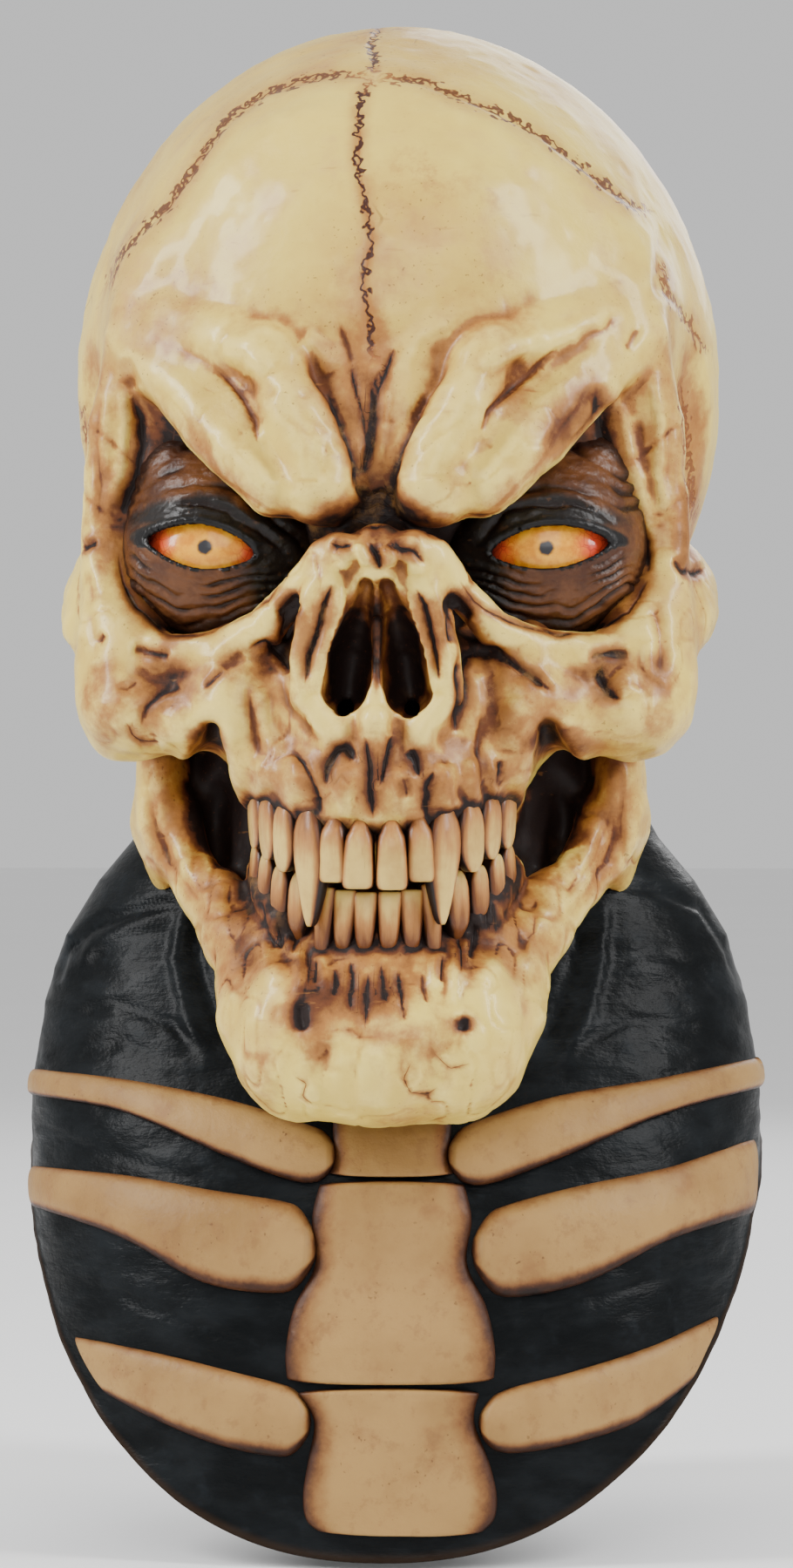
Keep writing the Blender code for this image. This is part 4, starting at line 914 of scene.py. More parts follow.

# %% [markdown]
# ## Pools and sutures
# Thin paint also gathers in wide pools without an edge, and the pools at the foot of the chin are painted
# shade. Where a pool's stain is below 0, the bone is wiped bare. The sutures are the seams between the
# plates of the cranium. They are shallow strokes, along which the paint draws a dark zigzag.

# %% Pools of brown
POOLS = table(Pool, (
    ("nose", ANYWHERE, ((430, 590, 50, 40, 0.42), (360, 700, 30, 60, 0.25), (500, 700, 26, 60, 0.25))),
    ("brow", ANYWHERE, ((316, 524, 26, 38, -0.5), (566, 516, 40, 36, -0.4), (288, 446, 40, 50, 0.14),
        (584, 440, 50, 50, 0.16), (196, 505, 56, 56, 0.34), (672, 486, 56, 60, 0.34))),
    ("suture", ANYWHERE, ((418, 340, 60, 60, 0.14), (420, 405, 56, 44, 0.2))),
    ("frown", ANYWHERE, ((430, 480, 36, 120, 0.24), (424, 400, 26, 60, 0.2))),
    ("bulb", ANYWHERE, ((392, 588, 34, 26, 0.3), (462, 590, 30, 24, 0.3), (330, 530, 60, 50, 0.12),
        (545, 540, 50, 40, 0.12))),
    ("eye_corner", 44, ((330, 620, 62, 44, 1.2), (535, 622, 60, 44, 1.2))),
    ("socket", 38, ((215, 612, 112, 128, 0.8), (640, 612, 114, 128, 0.8))),
    ("nose", 46.5, ((397, 760, 30, 78, 1.3), (470, 760, 28, 78, 1.3))),
    # Partly painted shade: the spots at the chin's lower sides and along its underside darken it where shade
    # falls. The others are brown wash round the chin's holes.
    ("chin", ANYWHERE, ((346, 1166, 10, 20, 0.7), (531, 1175, 10, 14, 0.6), (430, 1212, 110, 36, 0.24),
        (296, 1246, 60, 44, 0.2), (566, 1250, 56, 44, 0.18), (425, 1296, 70, 22, 0.16),
        (354, 1168, 36, 50, 0.38), (522, 1172, 34, 42, 0.34), (430, 1120, 110, 46, 0.42),
        (436, 1164, 88, 46, 0.3))),
    ("gum", ANYWHERE, ((430, 900, 150, 56, 0.27), (290, 890, 50, 70, 0.18), (562, 880, 60, 80, 0.26))),
    ("low_gum", ANYWHERE, ((310, 1070, 50, 60, 0.45), (548, 1070, 50, 60, 0.48))),
    ("under_lip", ANYWHERE, ((238, 850, 24, 24, 0.6), (645, 852, 44, 22, 0.6))),
    ("jaw", 23, ((250, 918, 42, 90, 1.3), (636, 916, 46, 92, 1.3))),
    ("pocket", 26, ((266, 982, 24, 42, 1.1), (612, 978, 24, 42, 1.1))),
    ("mouth", 36, ((290, 985, 26, 60, 0.8), (590, 975, 26, 60, 0.8))),
    ("cheek", ANYWHERE, ((290, 780, 60, 54, 0.34), (600, 800, 66, 60, 0.38), (118, 800, 30, 64, 0.5),
        (756, 800, 26, 60, 0.4), (700, 860, 50, 22, 0.18), (170, 850, 60, 26, 0.2),
        (304, 768, 14, 9, 0.5))),
    ("cheekbone", ANYWHERE, ((186, 790, 52, 54, 0.5), (694, 780, 46, 44, 0.45))),
    ("septum", ANYWHERE, ((432, 738, 8, 62, 1.1),)),
    ("maxilla", ANYWHERE, ((432, 880, 60, 60, 0.16),)),
    ("jaw", ANYWHERE, ((262, 1080, 46, 70, 0.14), (622, 1070, 40, 70, 0.12), (260, 1080, 40, 60, 0.2),
        (620, 1080, 40, 60, 0.16))),
    ("nose_pit", ANYWHERE, ((335, 715, 30, 40, 0.3), (520, 715, 34, 44, 0.35))),
    ("nasal", ANYWHERE, ((430, 630, 60, 26, 0.28),)),
    ("arch", ANYWHERE, ((104, 640, 22, 50, 0.25), (795, 610, 26, 60, 0.4))),
    ("ramus", ANYWHERE, ((200, 950, 40, 90, 0.2), (700, 960, 44, 100, 0.24))),
    ("pocket", ANYWHERE, ((254, 1012, 34, 24, 0.3), (626, 1000, 34, 26, 0.3))),
    ("temple", ANYWHERE, ((105, 500, 40, 120, 0.3), (780, 500, 50, 150, 0.32))),
    ("frontal", ANYWHERE, ((240, 380, 80, 40, 0.12), (600, 385, 120, 40, 0.14))),
))
print(len(POOLS), "groups of pools")

# %% Sutures of the cranium
SUTURES = table(Stroke, (
    ("forehead_suture", 4, 0.6, (424, 85, 413, 120, 411, 180, 419, 235, 426, 275, 417, 325, 424, 375,
        430, 420), 1.0),
    ("crown_suture", 4, 0.6, (440, 20, 427, 50, 431, 85), 0.8),
    ("front_suture_left", 4, 0.6, (120, 345, 135, 298, 165, 262, 192, 238, 216, 204, 240, 168, 264, 134,
        303, 108, 352, 91, 400, 85, 430, 87), 0.7),
    ("front_suture_right", 4, 0.6, (430, 87, 482, 93, 524, 108, 572, 130, 620, 154, 652, 180, 690, 210,
        722, 236, 756, 246), 0.7),
    ("temple_suture_right", 4, 0.5, (757, 298, 766, 338, 790, 370, 812, 408), 0.55),
    ("side_suture_right", 4, 0.5, (780, 430, 786, 480, 790, 540, 796, 604), 0.55),
    ("side_suture_left", 4, 0.5, (80, 448, 94, 478, 100, 512), 0.55),
))
print(len(SUTURES), "sutures")

# %% [markdown]
# ## The skull's skin
# The head's outside is made finely, as the light and the brown wash show every dent. The neck's passage,
# the holes to look through and the holes for breath are left open.

# %% Grow the skull
HEAD_LOW, HEAD_HIGH = at(-54, 53, 103), at(54, -53, -2)
SKIN_STEP = 0.00118
Hole = namedtuple("Hole", "name side front drop width")
HOLES = table(Hole, (("view", 13.0, 38.0, 49.7, 0.0055), ("breath", 4.8, 40.0, 63.5, 0.0060)))
HOLE_REACH, HOLES_SIDE = 0.065, 0.035
NECK_PASSAGE = 0.985


def holes_distance(points):
    """How far points are outside the round holes, which run along Y."""
    nearest = np.full(len(points), np.inf)
    for hole in HOLES:
        middle = at(hole.side, hole.front, hole.drop)
        away = np.hypot(np.abs(points[:, 0]) - middle[0], points[:, 2] - middle[2]) - hole.width / 2
        nearest = np.minimum(nearest, np.maximum(away, np.abs(points[:, 1] - middle[1]) - HOLE_REACH / 2))
    return nearest


def skull_distance(points):
    distance = forms_distance(SKULL, points)
    near = np.flatnonzero(np.abs(points[:, 0]) < HOLES_SIDE)
    distance[near] = np.maximum(distance[near], -holes_distance(points[near]))
    return distance


def keep_faces(points, faces, kept):
    """Drops faces, and the points that no face needs."""
    faces = faces[kept]
    used = np.unique(faces)
    number = np.full(len(points), -1)
    number[used] = np.arange(len(used))
    return points[used], number[faces]


skull_points, skull_faces = skin_net(skull_distance, HEAD_LOW, HEAD_HIGH, SKIN_STEP)
middles = skull_points[skull_faces].mean(axis=1)
open_ends = (forms_distance(SKULL, middles) < -SKIN) | (inside_neck(middles) < NECK_PASSAGE)
skull_points, skull_faces = keep_faces(skull_points, skull_faces, ~open_ends)
print(len(skull_faces), "faces in the skull's skin")

# %% [markdown]
# ## The sculptor's tool
# Clay worked by hand is never even. There are low humps everywhere and fine wrinkles over the face, along
# the brows and upright round the mouth. They come from noise, stretched the way the tool went.

# %% Tool marks
HUMPS = (Bump(0.0007, 0.015, 5), Bump(0.0004, 0.0075, 6))
GRAIN_BUMP = Bump(0.00016, 0.0036, 7)
PATCH_SIZE, UPRIGHT_SIZE, BROW_SIZE, WANDER_SIZE = 0.024, 0.0065, 0.008, 0.010
WRINKLE_DEPTH, WANDER_DEPTH = 0.00055, 0.0003
WRINKLE_STAIN, WANDER_STAIN = 0.16, 0.12


def creases(points, size, seed, thinness=0.09):
    """Wandering grooves: 1 along lines where smooth noise is zero, 0 away from them."""
    return np.exp(-(lattice_noise(points, size, seed) / thinness) ** 2)


def tool_marks(points):
    """Uneven modelling and wrinkles over the face, calmer on the cranium: height in metres and stain."""
    drop = (SKIN - points[:, 2]) * 100 / HEAD_HEIGHT
    front = -points[:, 1] * 100 / HEAD_DEPTH
    face = np.clip((drop - 33) / 8, 0, 1) * np.clip((front - 6) / 12, 0, 1)
    patch = np.clip(0.5 + lattice_noise(points, PATCH_SIZE, 61) * 1.6, 0, 1)
    x, y, z = np.abs(points[:, 0]), points[:, 1], points[:, 2]
    upright = creases(np.stack([x, y, z * 0.34], axis=1), UPRIGHT_SIZE, 62)
    slanted = np.stack([(x * 0.76 + z * 0.65) * 0.3, y, z * 0.76 - x * 0.65], axis=1)
    along_brow = creases(slanted, BROW_SIZE, 63)
    low, high = np.clip((drop - 64) / 6, 0, 1), np.clip((52 - drop) / 8, 0, 1)
    lines = (upright * low + along_brow * high) * face * patch
    wander = creases(points, WANDER_SIZE, 64, 0.06) * face * (1 - patch)
    bumps = bumpy(points, *HUMPS) * (0.5 + 0.8 * face) + bumpy(points, GRAIN_BUMP)
    height = bumps - WRINKLE_DEPTH * lines - WANDER_DEPTH * wander
    return height, WRINKLE_STAIN * lines + WANDER_STAIN * wander


print("tool marks ready")

# %% [markdown]
# ## Where the brown will lie
# Thin paint runs into whatever is low. Two numbers on each point say how low it is: how closely the skin
# round it crowds in on it, and how far it lies below the average of its neighbourhood.

# %% Hollows
HOLLOW_REACHES = (0.004, 0.010, 0.022)
SMOOTHED_SIZE, BROAD_ROUNDS = 0.0022, 9
SMALL_HOLLOW, BROAD_HOLLOW = 0.00022, 0.0011


def crowding(points, faces, normals, rounds):
    """How far each point lies below the average of its neighbourhood, in metres."""
    first, second = faces.ravel(), np.roll(faces, -1, axis=1).ravel()
    count = np.bincount(first, minlength=len(points)) + np.bincount(second, minlength=len(points))
    smoothed = points
    for _ in range(rounds):
        totals = []
        for axis in range(3):
            total = np.bincount(first, smoothed[second, axis], len(points))
            totals.append(total + np.bincount(second, smoothed[first, axis], len(points)))
        smoothed = np.stack(totals, axis=1) / count[:, None]
    return ((smoothed - points) * normals).sum(axis=1)


def hollowness(points, normals):
    """How closely the skull's skin crowds in on each point, from 0 on open skin to about 1 in a pit."""
    total = np.zeros(len(points))
    for reach in HOLLOW_REACHES:
        total += np.clip(1 - forms_distance(SKULL, points + normals * reach) / reach, 0, 1)
    return total / len(HOLLOW_REACHES)


print("hollows are looked for", HOLLOW_REACHES, "away")

# %% Carve it and mark it
DEEPEST_CUT = 0.0024
SUTURE_REACH, SUTURE_SCALE = 30, 0.28
skull_mesh = mesh_of("skull_skin", skull_points, skull_faces)
smooth_normals = read_vectors(skull_mesh, "normal")
moved, stain, lines = carve(skull_points, smooth_normals, STROKES, POOLS)
seamed = carve(skull_points, smooth_normals, SUTURES, ())[0]
tooled, tool_stain = tool_marks(skull_points)
moved = np.maximum(moved + seamed + tooled, -DEEPEST_CUT)
skull_points = skull_points + smooth_normals * moved[:, None]
set_points(skull_mesh, skull_points)


def mark_sutures(mesh, points, normals):
    """A signed distance to the nearest suture for the shader's zigzag, and how strong it is there."""
    pixels = seen_at(points)
    signed, far, ink = np.full(len(points), 9.0), np.full(len(points), 9.0), np.zeros(len(points))
    for suture in SUTURES:
        near, gap, side, travel = along_stroke(suture, pixels, SUTURE_REACH)
        gap = gap * SUTURE_SCALE
        closer = gap < far[near]
        chosen = near[closer]
        far[chosen] = gap[closer]
        signed[chosen] = (gap * side)[closer]
        ink[chosen] = (suture.stain * fading_ends(travel, 12))[closer]
    set_mark(mesh, "suture", signed)
    set_mark(mesh, "suture_far", far)
    set_mark(mesh, "suture_ink", ink * facing(normals, 4))


hollow = hollowness(skull_points, smooth_normals)
rounds = max(1, round((SMOOTHED_SIZE / SKIN_STEP) ** 2))
small = crowding(skull_points, skull_faces, smooth_normals, rounds) / SMALL_HOLLOW
broad = crowding(skull_points, skull_faces, smooth_normals, rounds * BROAD_ROUNDS) / BROAD_HOLLOW
set_mark(skull_mesh, "stain", stain + tool_stain)
set_mark(skull_mesh, "hollow", hollow)
for name, values in zip(("line", "line_far", "line_ink"), lines):
    set_mark(skull_mesh, name, values)
set_mark(skull_mesh, "cavity", np.clip(small * 0.5 + broad * 0.5, -1, 1))
mark_sutures(skull_mesh, skull_points, smooth_normals)
print("stain up to", round(float(stain.max()), 2), "hollow up to", round(float(hollow.max()), 2))

# %% [markdown]
# ## Bone paint
# Bone is aged like this: a cream coat covers all, then thin brown is brushed over and wiped off, so it
# stays in every hollow and furrow and is almost black in the deepest ones. Dark specks and a varnish
# finish it. The marks on the points say where the brown lies, and noise breaks its edges.

# %% Bone finish
LIGHT, WARM = (0.69, 0.51, 0.095), (0.50, 0.31, 0.055)
RUSTY, POLISHED = (0.52, 0.28, 0.12), (0.82, 0.65, 0.18)
TAN, BROWN, DARK = (0.33, 0.135, 0.028), (0.100, 0.028, 0.007), (0.010, 0.004, 0.003)
DIRT, SEAM_BROWN, SEAM_DARK = (0.40, 0.19, 0.05), (0.24, 0.075, 0.016), (0.040, 0.010, 0.004)
CRACK_WARP = 0.012

paint = Finish("painted_bone")
clouds, patches = paint.noise(11.0, 5.0, 0.6), paint.noise(42.0, 4.0, 0.6)
ragged, grain = paint.noise(120.0, 5.0, 0.7), paint.noise(230.0, 3.0, 0.6)


def stroke_lines():
    """Thin dark lines along the strokes, with broken edges."""
    rough_edge = (patches - 0.5) * 1.6 + (grain - 0.5) * 1.4
    line = (1 - abs(paint.mark("line") + rough_edge).between(0.3, 1.5)) * paint.mark("line_ink")
    return line * (1 - paint.mark("line_far").between(5.0, 8.5))


def brown_wash(cavity, line):
    """How much brown is left after wiping, from 0 to somewhat more than 1."""
    wash = paint.mark("stain") * 0.8 + paint.mark("hollow") * 0.66 + cavity.between(0.05, 1.0) * 0.34 - 0.05
    wash = wash * (0.1 + patches * 0.9 + ragged * 0.85) + (grain - 0.5) * 0.25
    wash = wash + (clouds - 0.5) * 0.45 + (patches - 0.5) * 0.45 + (ragged - 0.5) * 0.2
    return wash + line * 0.66 + paint.mark("gumline")


def fine_cracks():
    """Hairline cracks between bent cells, in some places only."""
    shift = paint.node("ShaderNodeTexNoise", {}, {"Vector": paint.place(), "Scale": 60.0}, "Color")
    warp = paint.vector("SCALE", {0: shift, "Scale": CRACK_WARP})
    cells = paint.cell_edges(38.0, paint.vector("ADD", {0: paint.place(), 1: warp}))
    return (1 - cells.between(0.004, 0.018)) * paint.noise(16.0, 2.0).between(0.60, 0.68)


def aged_cream(cavity, wash):
    """Cream, worn pale on the ridges, with brown in the hollows and dirt, scratches and specks."""
    tone = paint.mix(clouds.between(0.35, 0.68), LIGHT, WARM)
    tone = paint.mix(patches.between(0.52, 0.76) * 0.45, tone, RUSTY)
    tone = paint.mix((0 - cavity).between(0.1, 0.9) * 0.5, tone, POLISHED)
    tone = paint.mix(wash.between(0.0, 0.40), tone, TAN)
    tone = paint.mix(wash.between(0.30, 0.74), tone, BROWN)
    tone = paint.mix(wash.between(0.70, 1.10), tone, DARK)
    dirt = paint.noise(24.0, 3.0).between(0.50, 0.72) * ragged.between(0.46, 0.66)
    tone = paint.mix(dirt * 0.6, tone, DIRT)
    scratches = paint.noise(1.0, 3.0, 0.6, paint.stretched(90, 90, 420)).between(0.63, 0.70)
    tone = paint.mix(scratches * patches.between(0.48, 0.62) * 0.3, tone, TAN)
    specks = paint.noise(760.0, 1.0).between(0.68, 0.75) * clouds.between(0.42, 0.58)
    return paint.mix(specks * 0.55, tone, BROWN)


def with_sutures(tone):
    """The tone with a brown halo and a dark zigzag along each suture, and that zigzag."""
    strong, far = paint.mark("suture_ink"), paint.mark("suture_far")
    zigzag = paint.mark("suture") + (paint.noise(330.0, 1.5, 0.5) - 0.5) * 9.0
    seam = (1 - abs(zigzag).between(0.35, 1.1)) * (1 - far.between(1.9, 2.9)) * strong
    halo = (1 - far.between(0.3, 5.5)) * strong
    tone = paint.mix(halo * patches.between(0.25, 0.6) * 0.8, tone, TAN)
    tone = paint.mix(seam.between(0, 0.4) * 0.9, tone, SEAM_BROWN)
    return paint.mix(seam.between(0.35, 0.9), tone, SEAM_DARK), seam


def bone_paint():
    cavity, line, cracks = paint.mark("cavity"), stroke_lines(), fine_cracks()
    wash = brown_wash(cavity, line)
    tone = paint.mix(cracks * 0.5, aged_cream(cavity, wash), BROWN)
    tone, seam = with_sutures(tone)
    height = paint.noise(95.0, 5.0, 0.62) * 0.8 + ragged * 0.35 + grain * 0.25
    height = height - cracks * 0.3 - line * 0.8 - seam * 1.2
    shine = 0.36 + patches * 0.16 + wash.between(0.2, 0.9) * 0.18
    return paint.wear(Base_Color=tone, Roughness=shine, Specular_IOR_Level=0.22,
                      Coat_Weight=0.28 * (1 - wash.between(0.1, 0.6) * 0.9),
                      Coat_Roughness=0.17, Normal=paint.bump(height, 0.0007, 0.8))


bone_material = bone_paint()
print("bone paint with", len(paint.tree.nodes), "nodes")

# %% [markdown]
# ## Fewer faces where it is flat
# The carving needs a fine net, but a round cranium doesn't. Once all is carved and marked, faces are
# joined wherever the skin is flattest, and the furrows keep theirs.

# %% Join faces and dress the skull
SKULL_TRIANGLES = 194000


def dress(piece, node, material):
    """Hangs a visible piece on the body in place of one solid."""
    piece.data.materials.append(material)
    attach(piece, "root")
    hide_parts(node)


def join_faces(obj, wanted):
    """Joins triangles into larger ones where the skin is flattest, until about the wanted number is left."""
    count = sum(len(face.vertices) - 2 for face in obj.data.polygons)
    if count <= wanted:
        return
    joiner = obj.modifiers.new("joiner", "DECIMATE")
    joiner.ratio = wanted / count
    seen = obj.evaluated_get(bpy.context.evaluated_depsgraph_get())
    joined = bpy.data.meshes.new_from_object(seen)
    obj.modifiers.clear()
    obj.data = joined
    joined.polygons.foreach_set("use_smooth", np.ones(len(joined.polygons), bool))


skull = add_object("skull_skin", skull_mesh)
join_faces(skull, SKULL_TRIANGLES)
skull_points = read_vectors(skull.data, "co")
dress(skull, "head_skin", bone_material)
print("skull dressed, with", len(skull.data.polygons), "faces left in its skin")

# %% [markdown]
# ## The inside of the head
# The wearer's side is bare latex, one skin's thickness behind the bone. It is smooth, as it is poured, so
# a coarser grid is enough. It is open towards the neck and where the holes come through.

# %% The lining
LINING_STEP, HOLE_EDGE = 0.0045, 0.0012
lining_points, lining_faces = skin_net(lambda places: forms_distance(SKULL, places) + SKIN,
                                       HEAD_LOW, HEAD_HIGH, LINING_STEP)
middles = lining_points[lining_faces].mean(axis=1)
closed = (inside_neck(middles) > 1.0) & (holes_distance(middles) > HOLE_EDGE)
lining_points, lining_faces = keep_faces(lining_points, lining_faces[:, ::-1], closed)
lining_mesh = mesh_of("skull_lining", lining_points, lining_faces)


def raw_latex():
    """Bare latex, a little cloudy, with spots where bubbles broke."""
    latex = Finish("raw_latex")
    tone = latex.mix(latex.noise(18.0).between(0.35, 0.65), (0.30, 0.21, 0.11), (0.23, 0.155, 0.08))
    tone = latex.mix(latex.noise(160.0, 2.0).between(0.6, 0.72) * 0.4, tone, (0.24, 0.15, 0.07))
    return latex.wear(Base_Color=tone, Roughness=0.62, Normal=latex.bump(latex.noise(70.0), 0.0008, 1.0))


dress(add_object("skull_lining", lining_mesh), "head_skin", raw_latex())
print(len(lining_faces), "faces in the lining")

# %% [markdown]
# ## Teeth
# Each tooth is a solid of its own, set in the gum along half an ellipse, as real teeth stand. It is lofted
# through rings from its root to its tip: narrow at the gum, full in the middle and rounded off at the
# edge. An outline pairs shares of the height with shares of the width. Chance turns each tooth a little,
# so that the row doesn't look machined. Brown lies at the root and between neighbours.

# %% Tables of teeth
UPPER_ROW_SHARE, LOWER_ROW_SHARE = 41.5, 40.5
ROW_DEPTH, LOWER_SET_BACK = 0.055, 0.0075
TOOTH_THICKNESS, TEETH_FRONT = 0.0095, 48.7
Tooth = namedtuple("Tooth", "name outline middle wide gum tip lean")
UPPER_TEETH = table(Tooth, (
    ("central_incisor", "shield", 11.6, 22.5, 74.2, 79.2, 0),
    ("lateral_incisor", "shield", 32.2, 19.6, 73.7, 78.6, 0),
    ("canine", "fang", 51.6, 20, 72.7, 82.3, -1.4),
    ("first_premolar", "leaf", 69, 15.4, 71.9, 77.7, 0),
    ("second_premolar", "leaf", 82.4, 12, 71.2, 76.6, 0),
    ("molar", "leaf", 93, 9.4, 70.4, 75.8, 0),
))
LOWER_TEETH = table(Tooth, (
    ("central_incisor", "slab", 9.0, 17.6, 84.2, 79.3, 0),
    ("lateral_incisor", "slab", 26.0, 17, 84.2, 79.2, -0.5),
    ("canine", "slab", 42, 14.6, 85, 78.9, -1.0),
    ("first_premolar", "leaf", 61, 15.5, 82.9, 77.6, -0.6),
    ("second_premolar", "leaf", 75, 13, 81.9, 77.2, 0),
    ("first_molar", "leaf", 86.6, 10.4, 80.6, 76.2, 0),
    ("second_molar", "leaf", 95.4, 7.6, 79.6, 75.3, 0),
))
OUTLINES = {
    "shield": ((-0.2, 0.42), (0, 0.70), (0.08, 0.84), (0.22, 0.91), (0.5, 0.95),
        (0.8, 1.0), (0.92, 0.97), (0.98, 0.86), (1, 0.64)),
    "fang": ((-0.2, 0.42), (0, 0.68), (0.07, 0.90), (0.18, 1.06), (0.32, 1.08),
        (0.48, 0.98), (0.64, 0.77), (0.8, 0.56), (0.92, 0.36), (1, 0.16)),
    "leaf": ((-0.2, 0.35), (0, 0.62), (0.1, 0.84), (0.28, 0.97), (0.5, 1.0),
        (0.7, 0.96), (0.86, 0.80), (0.95, 0.54), (1, 0.3)),
    "slab": ((-0.2, 0.45), (0, 0.64), (0.1, 0.78), (0.3, 0.88), (0.55, 0.95),
        (0.8, 1.0), (0.94, 1.02), (0.985, 0.97), (1, 0.84)),
}
Ring = namedtuple("Ring", "height thick set_back")
TOOTH_RINGS = table(Ring, (
    (-0.2, 0.70, 0.34), (-0.08, 0.84, 0.22), (0, 0.92, 0.13), (0.07, 0.98, 0.06),
    (0.16, 1.02, 0.01), (0.28, 1.0, 0.0), (0.42, 0.94, 0.0), (0.56, 0.86, 0.02),
    (0.7, 0.74, 0.04), (0.82, 0.62, 0.06), (0.91, 0.53, 0.08), (0.96, 0.46, 0.10),
    (0.985, 0.36, 0.12), (1.0, 0.22, 0.16),
))
print(len(UPPER_TEETH) * 2 + len(LOWER_TEETH) * 2, "teeth in the tables")

# %% The form of a tooth
TOOTH_SIDES = 24
SIDE_SQUARENESS, FRONT_SQUARENESS, WIDENING = 0.72, 0.62, 0.51
MOST_TWIST, LENGTH_CHANCE, LEAN_CHANCE = math.radians(5), 0.025, 0.0006


def tooth_frame(tooth, row_width, set_back, twist):
    """Where a tooth stands on its row, the direction along the row there, and the one out of the mouth."""
    turn = math.asin(tooth.middle / 100)
    half, depth = row_width / 2, ROW_DEPTH - set_back
    row_middle = at(0, TEETH_FRONT, 0)[1] + ROW_DEPTH
    slope = np.array((half * math.cos(turn), depth * math.sin(turn), 0))
    slope /= np.linalg.norm(slope)
    slope = np.array((slope[0] * math.cos(twist) - slope[1] * math.sin(twist),
                      slope[0] * math.sin(twist) + slope[1] * math.cos(twist), 0))
    base = np.array((half * math.sin(turn), row_middle - depth * math.cos(turn), 0))
    return base, slope, np.array((slope[1], -slope[0], 0))


def tooth_points(tooth, side, row_width, set_back, chance):
    """Points of a tooth ring by ring, and for each its share of height and of width."""
    base, slope, outward = tooth_frame(tooth, row_width, set_back, MOST_TWIST * chance[0])
    width = tooth.wide / 100 * row_width / 2 / slope[0]
    outline = np.transpose(OUTLINES[tooth.outline])
    gum, tip = height_at(tooth.gum), height_at(tooth.tip)
    tip += (tip - gum) * LENGTH_CHANCE * chance[1]
    points, heights, acrosses = [], [], []
    for ring in TOOTH_RINGS:
        wide = np.interp(ring.height, *outline)
        lean = slope * ((chance[2] * LEAN_CHANCE + tooth.lean / 1000) * ring.height)
        for corner in range(TOOTH_SIDES):
            angle = 2 * math.pi * corner / TOOTH_SIDES
            across = math.copysign(abs(math.cos(angle)) ** SIDE_SQUARENESS, math.cos(angle))
            out = math.copysign(abs(math.sin(angle)) ** FRONT_SQUARENESS, math.sin(angle)) - 1
            spread = slope * (WIDENING * across * wide * width) + lean
            reach = outward * ((0.5 * out * ring.thick - ring.set_back) * TOOTH_THICKNESS)
            point = base + spread + reach
            points.append((side * point[0], point[1], gum + (tip - gum) * ring.height))
            heights.append(ring.height)
            acrosses.append(abs(across))
    return np.array(points), np.array(heights), np.array(acrosses)


def closed_loft(name, points, rings, sides, mirrored=False):
    """A smooth mesh through rings of equally many points, with a flat face over each end."""
    faces = []
    for ring in range(rings - 1):
        for corner in range(sides):
            following = (corner + 1) % sides
            low, high = ring * sides, (ring + 1) * sides
            faces.append((low + corner, low + following, high + following, high + corner))
    faces += [tuple(range(sides))[::-1], tuple(range((rings - 1) * sides, rings * sides))]
    if mirrored:
        faces = [face[::-1] for face in faces]
    mesh = bpy.data.meshes.new(name)
    mesh.from_pydata([tuple(point) for point in points], [], faces)
    mesh.polygons.foreach_set("use_smooth", np.ones(len(mesh.polygons), bool))
    mesh.update()
    return mesh


print(len(TOOTH_RINGS), "rings to a tooth")

# %% Tooth finish
TOOTH_CREAM, TOOTH_BUFF = (0.60, 0.42, 0.115), (0.42, 0.255, 0.066)
TOOTH_TAN, TOOTH_BROWN, TOOTH_DARK = (0.36, 0.155, 0.042), (0.12, 0.036, 0.009), (0.010, 0.004, 0.003)
TOOTH_CRACK = (0.16, 0.06, 0.02)


def stained_enamel():
    """Cream enamel with brown at the root and at both sides, upright streaks and fine cracks."""
    enamel = Finish("stained_enamel")
    side = enamel.mark("side")
    streaks = enamel.noise(1.0, 4.0, 0.6, enamel.stretched(420, 420, 70))
    clouds = enamel.noise(60.0)
    grime = enamel.mark("root") * 0.85 + side * 0.6 + side.between(0.75, 1.0) * 0.5
    grime = grime + (streaks - 0.5) * 0.5 + (clouds - 0.5) * 0.3
    tone = enamel.mix(clouds.between(0.35, 0.7), TOOTH_CREAM, TOOTH_BUFF)
    tone = enamel.mix(grime.between(0.10, 0.5), tone, TOOTH_TAN)
    tone = enamel.mix(grime.between(0.40, 0.82), tone, TOOTH_BROWN)
    tone = enamel.mix(grime.between(0.86, 1.2), tone, TOOTH_DARK)
    cracks = enamel.noise(1.0, 2.0, 0.5, enamel.stretched(900, 900, 60)).between(0.66, 0.74)
    tone = enamel.mix(cracks * 0.4, tone, TOOTH_CRACK)
    height = streaks * 0.5 + enamel.noise(300.0, 3.0) * 0.3
    return enamel.wear(Base_Color=tone, Roughness=0.3 + streaks * 0.15, Specular_IOR_Level=0.25,
                       Coat_Weight=0.12, Coat_Roughness=0.15, Normal=enamel.bump(height, 0.0005, 0.7))


enamel_material = stained_enamel()
print("enamel ready")

# %% Set the teeth
Row = namedtuple("Row", "name table share set_back root_start root_fall")
ROWS = table(Row, (
    ("upper", UPPER_TEETH, UPPER_ROW_SHARE, 0.0, 0.52, 1.05),
    ("lower", LOWER_TEETH, LOWER_ROW_SHARE, LOWER_SET_BACK, 0.86, 0.85),
))
HANDS = (("left", 1), ("right", -1))
TOOTH_BUMP, TOOTH_BUMP_SIZE = 0.00018, 0.0035
SIDE_START, SIDE_RISE = 0.56, 2.4
CHANCE_SEED, CHANCES = 11, 60
tooth_skins = []


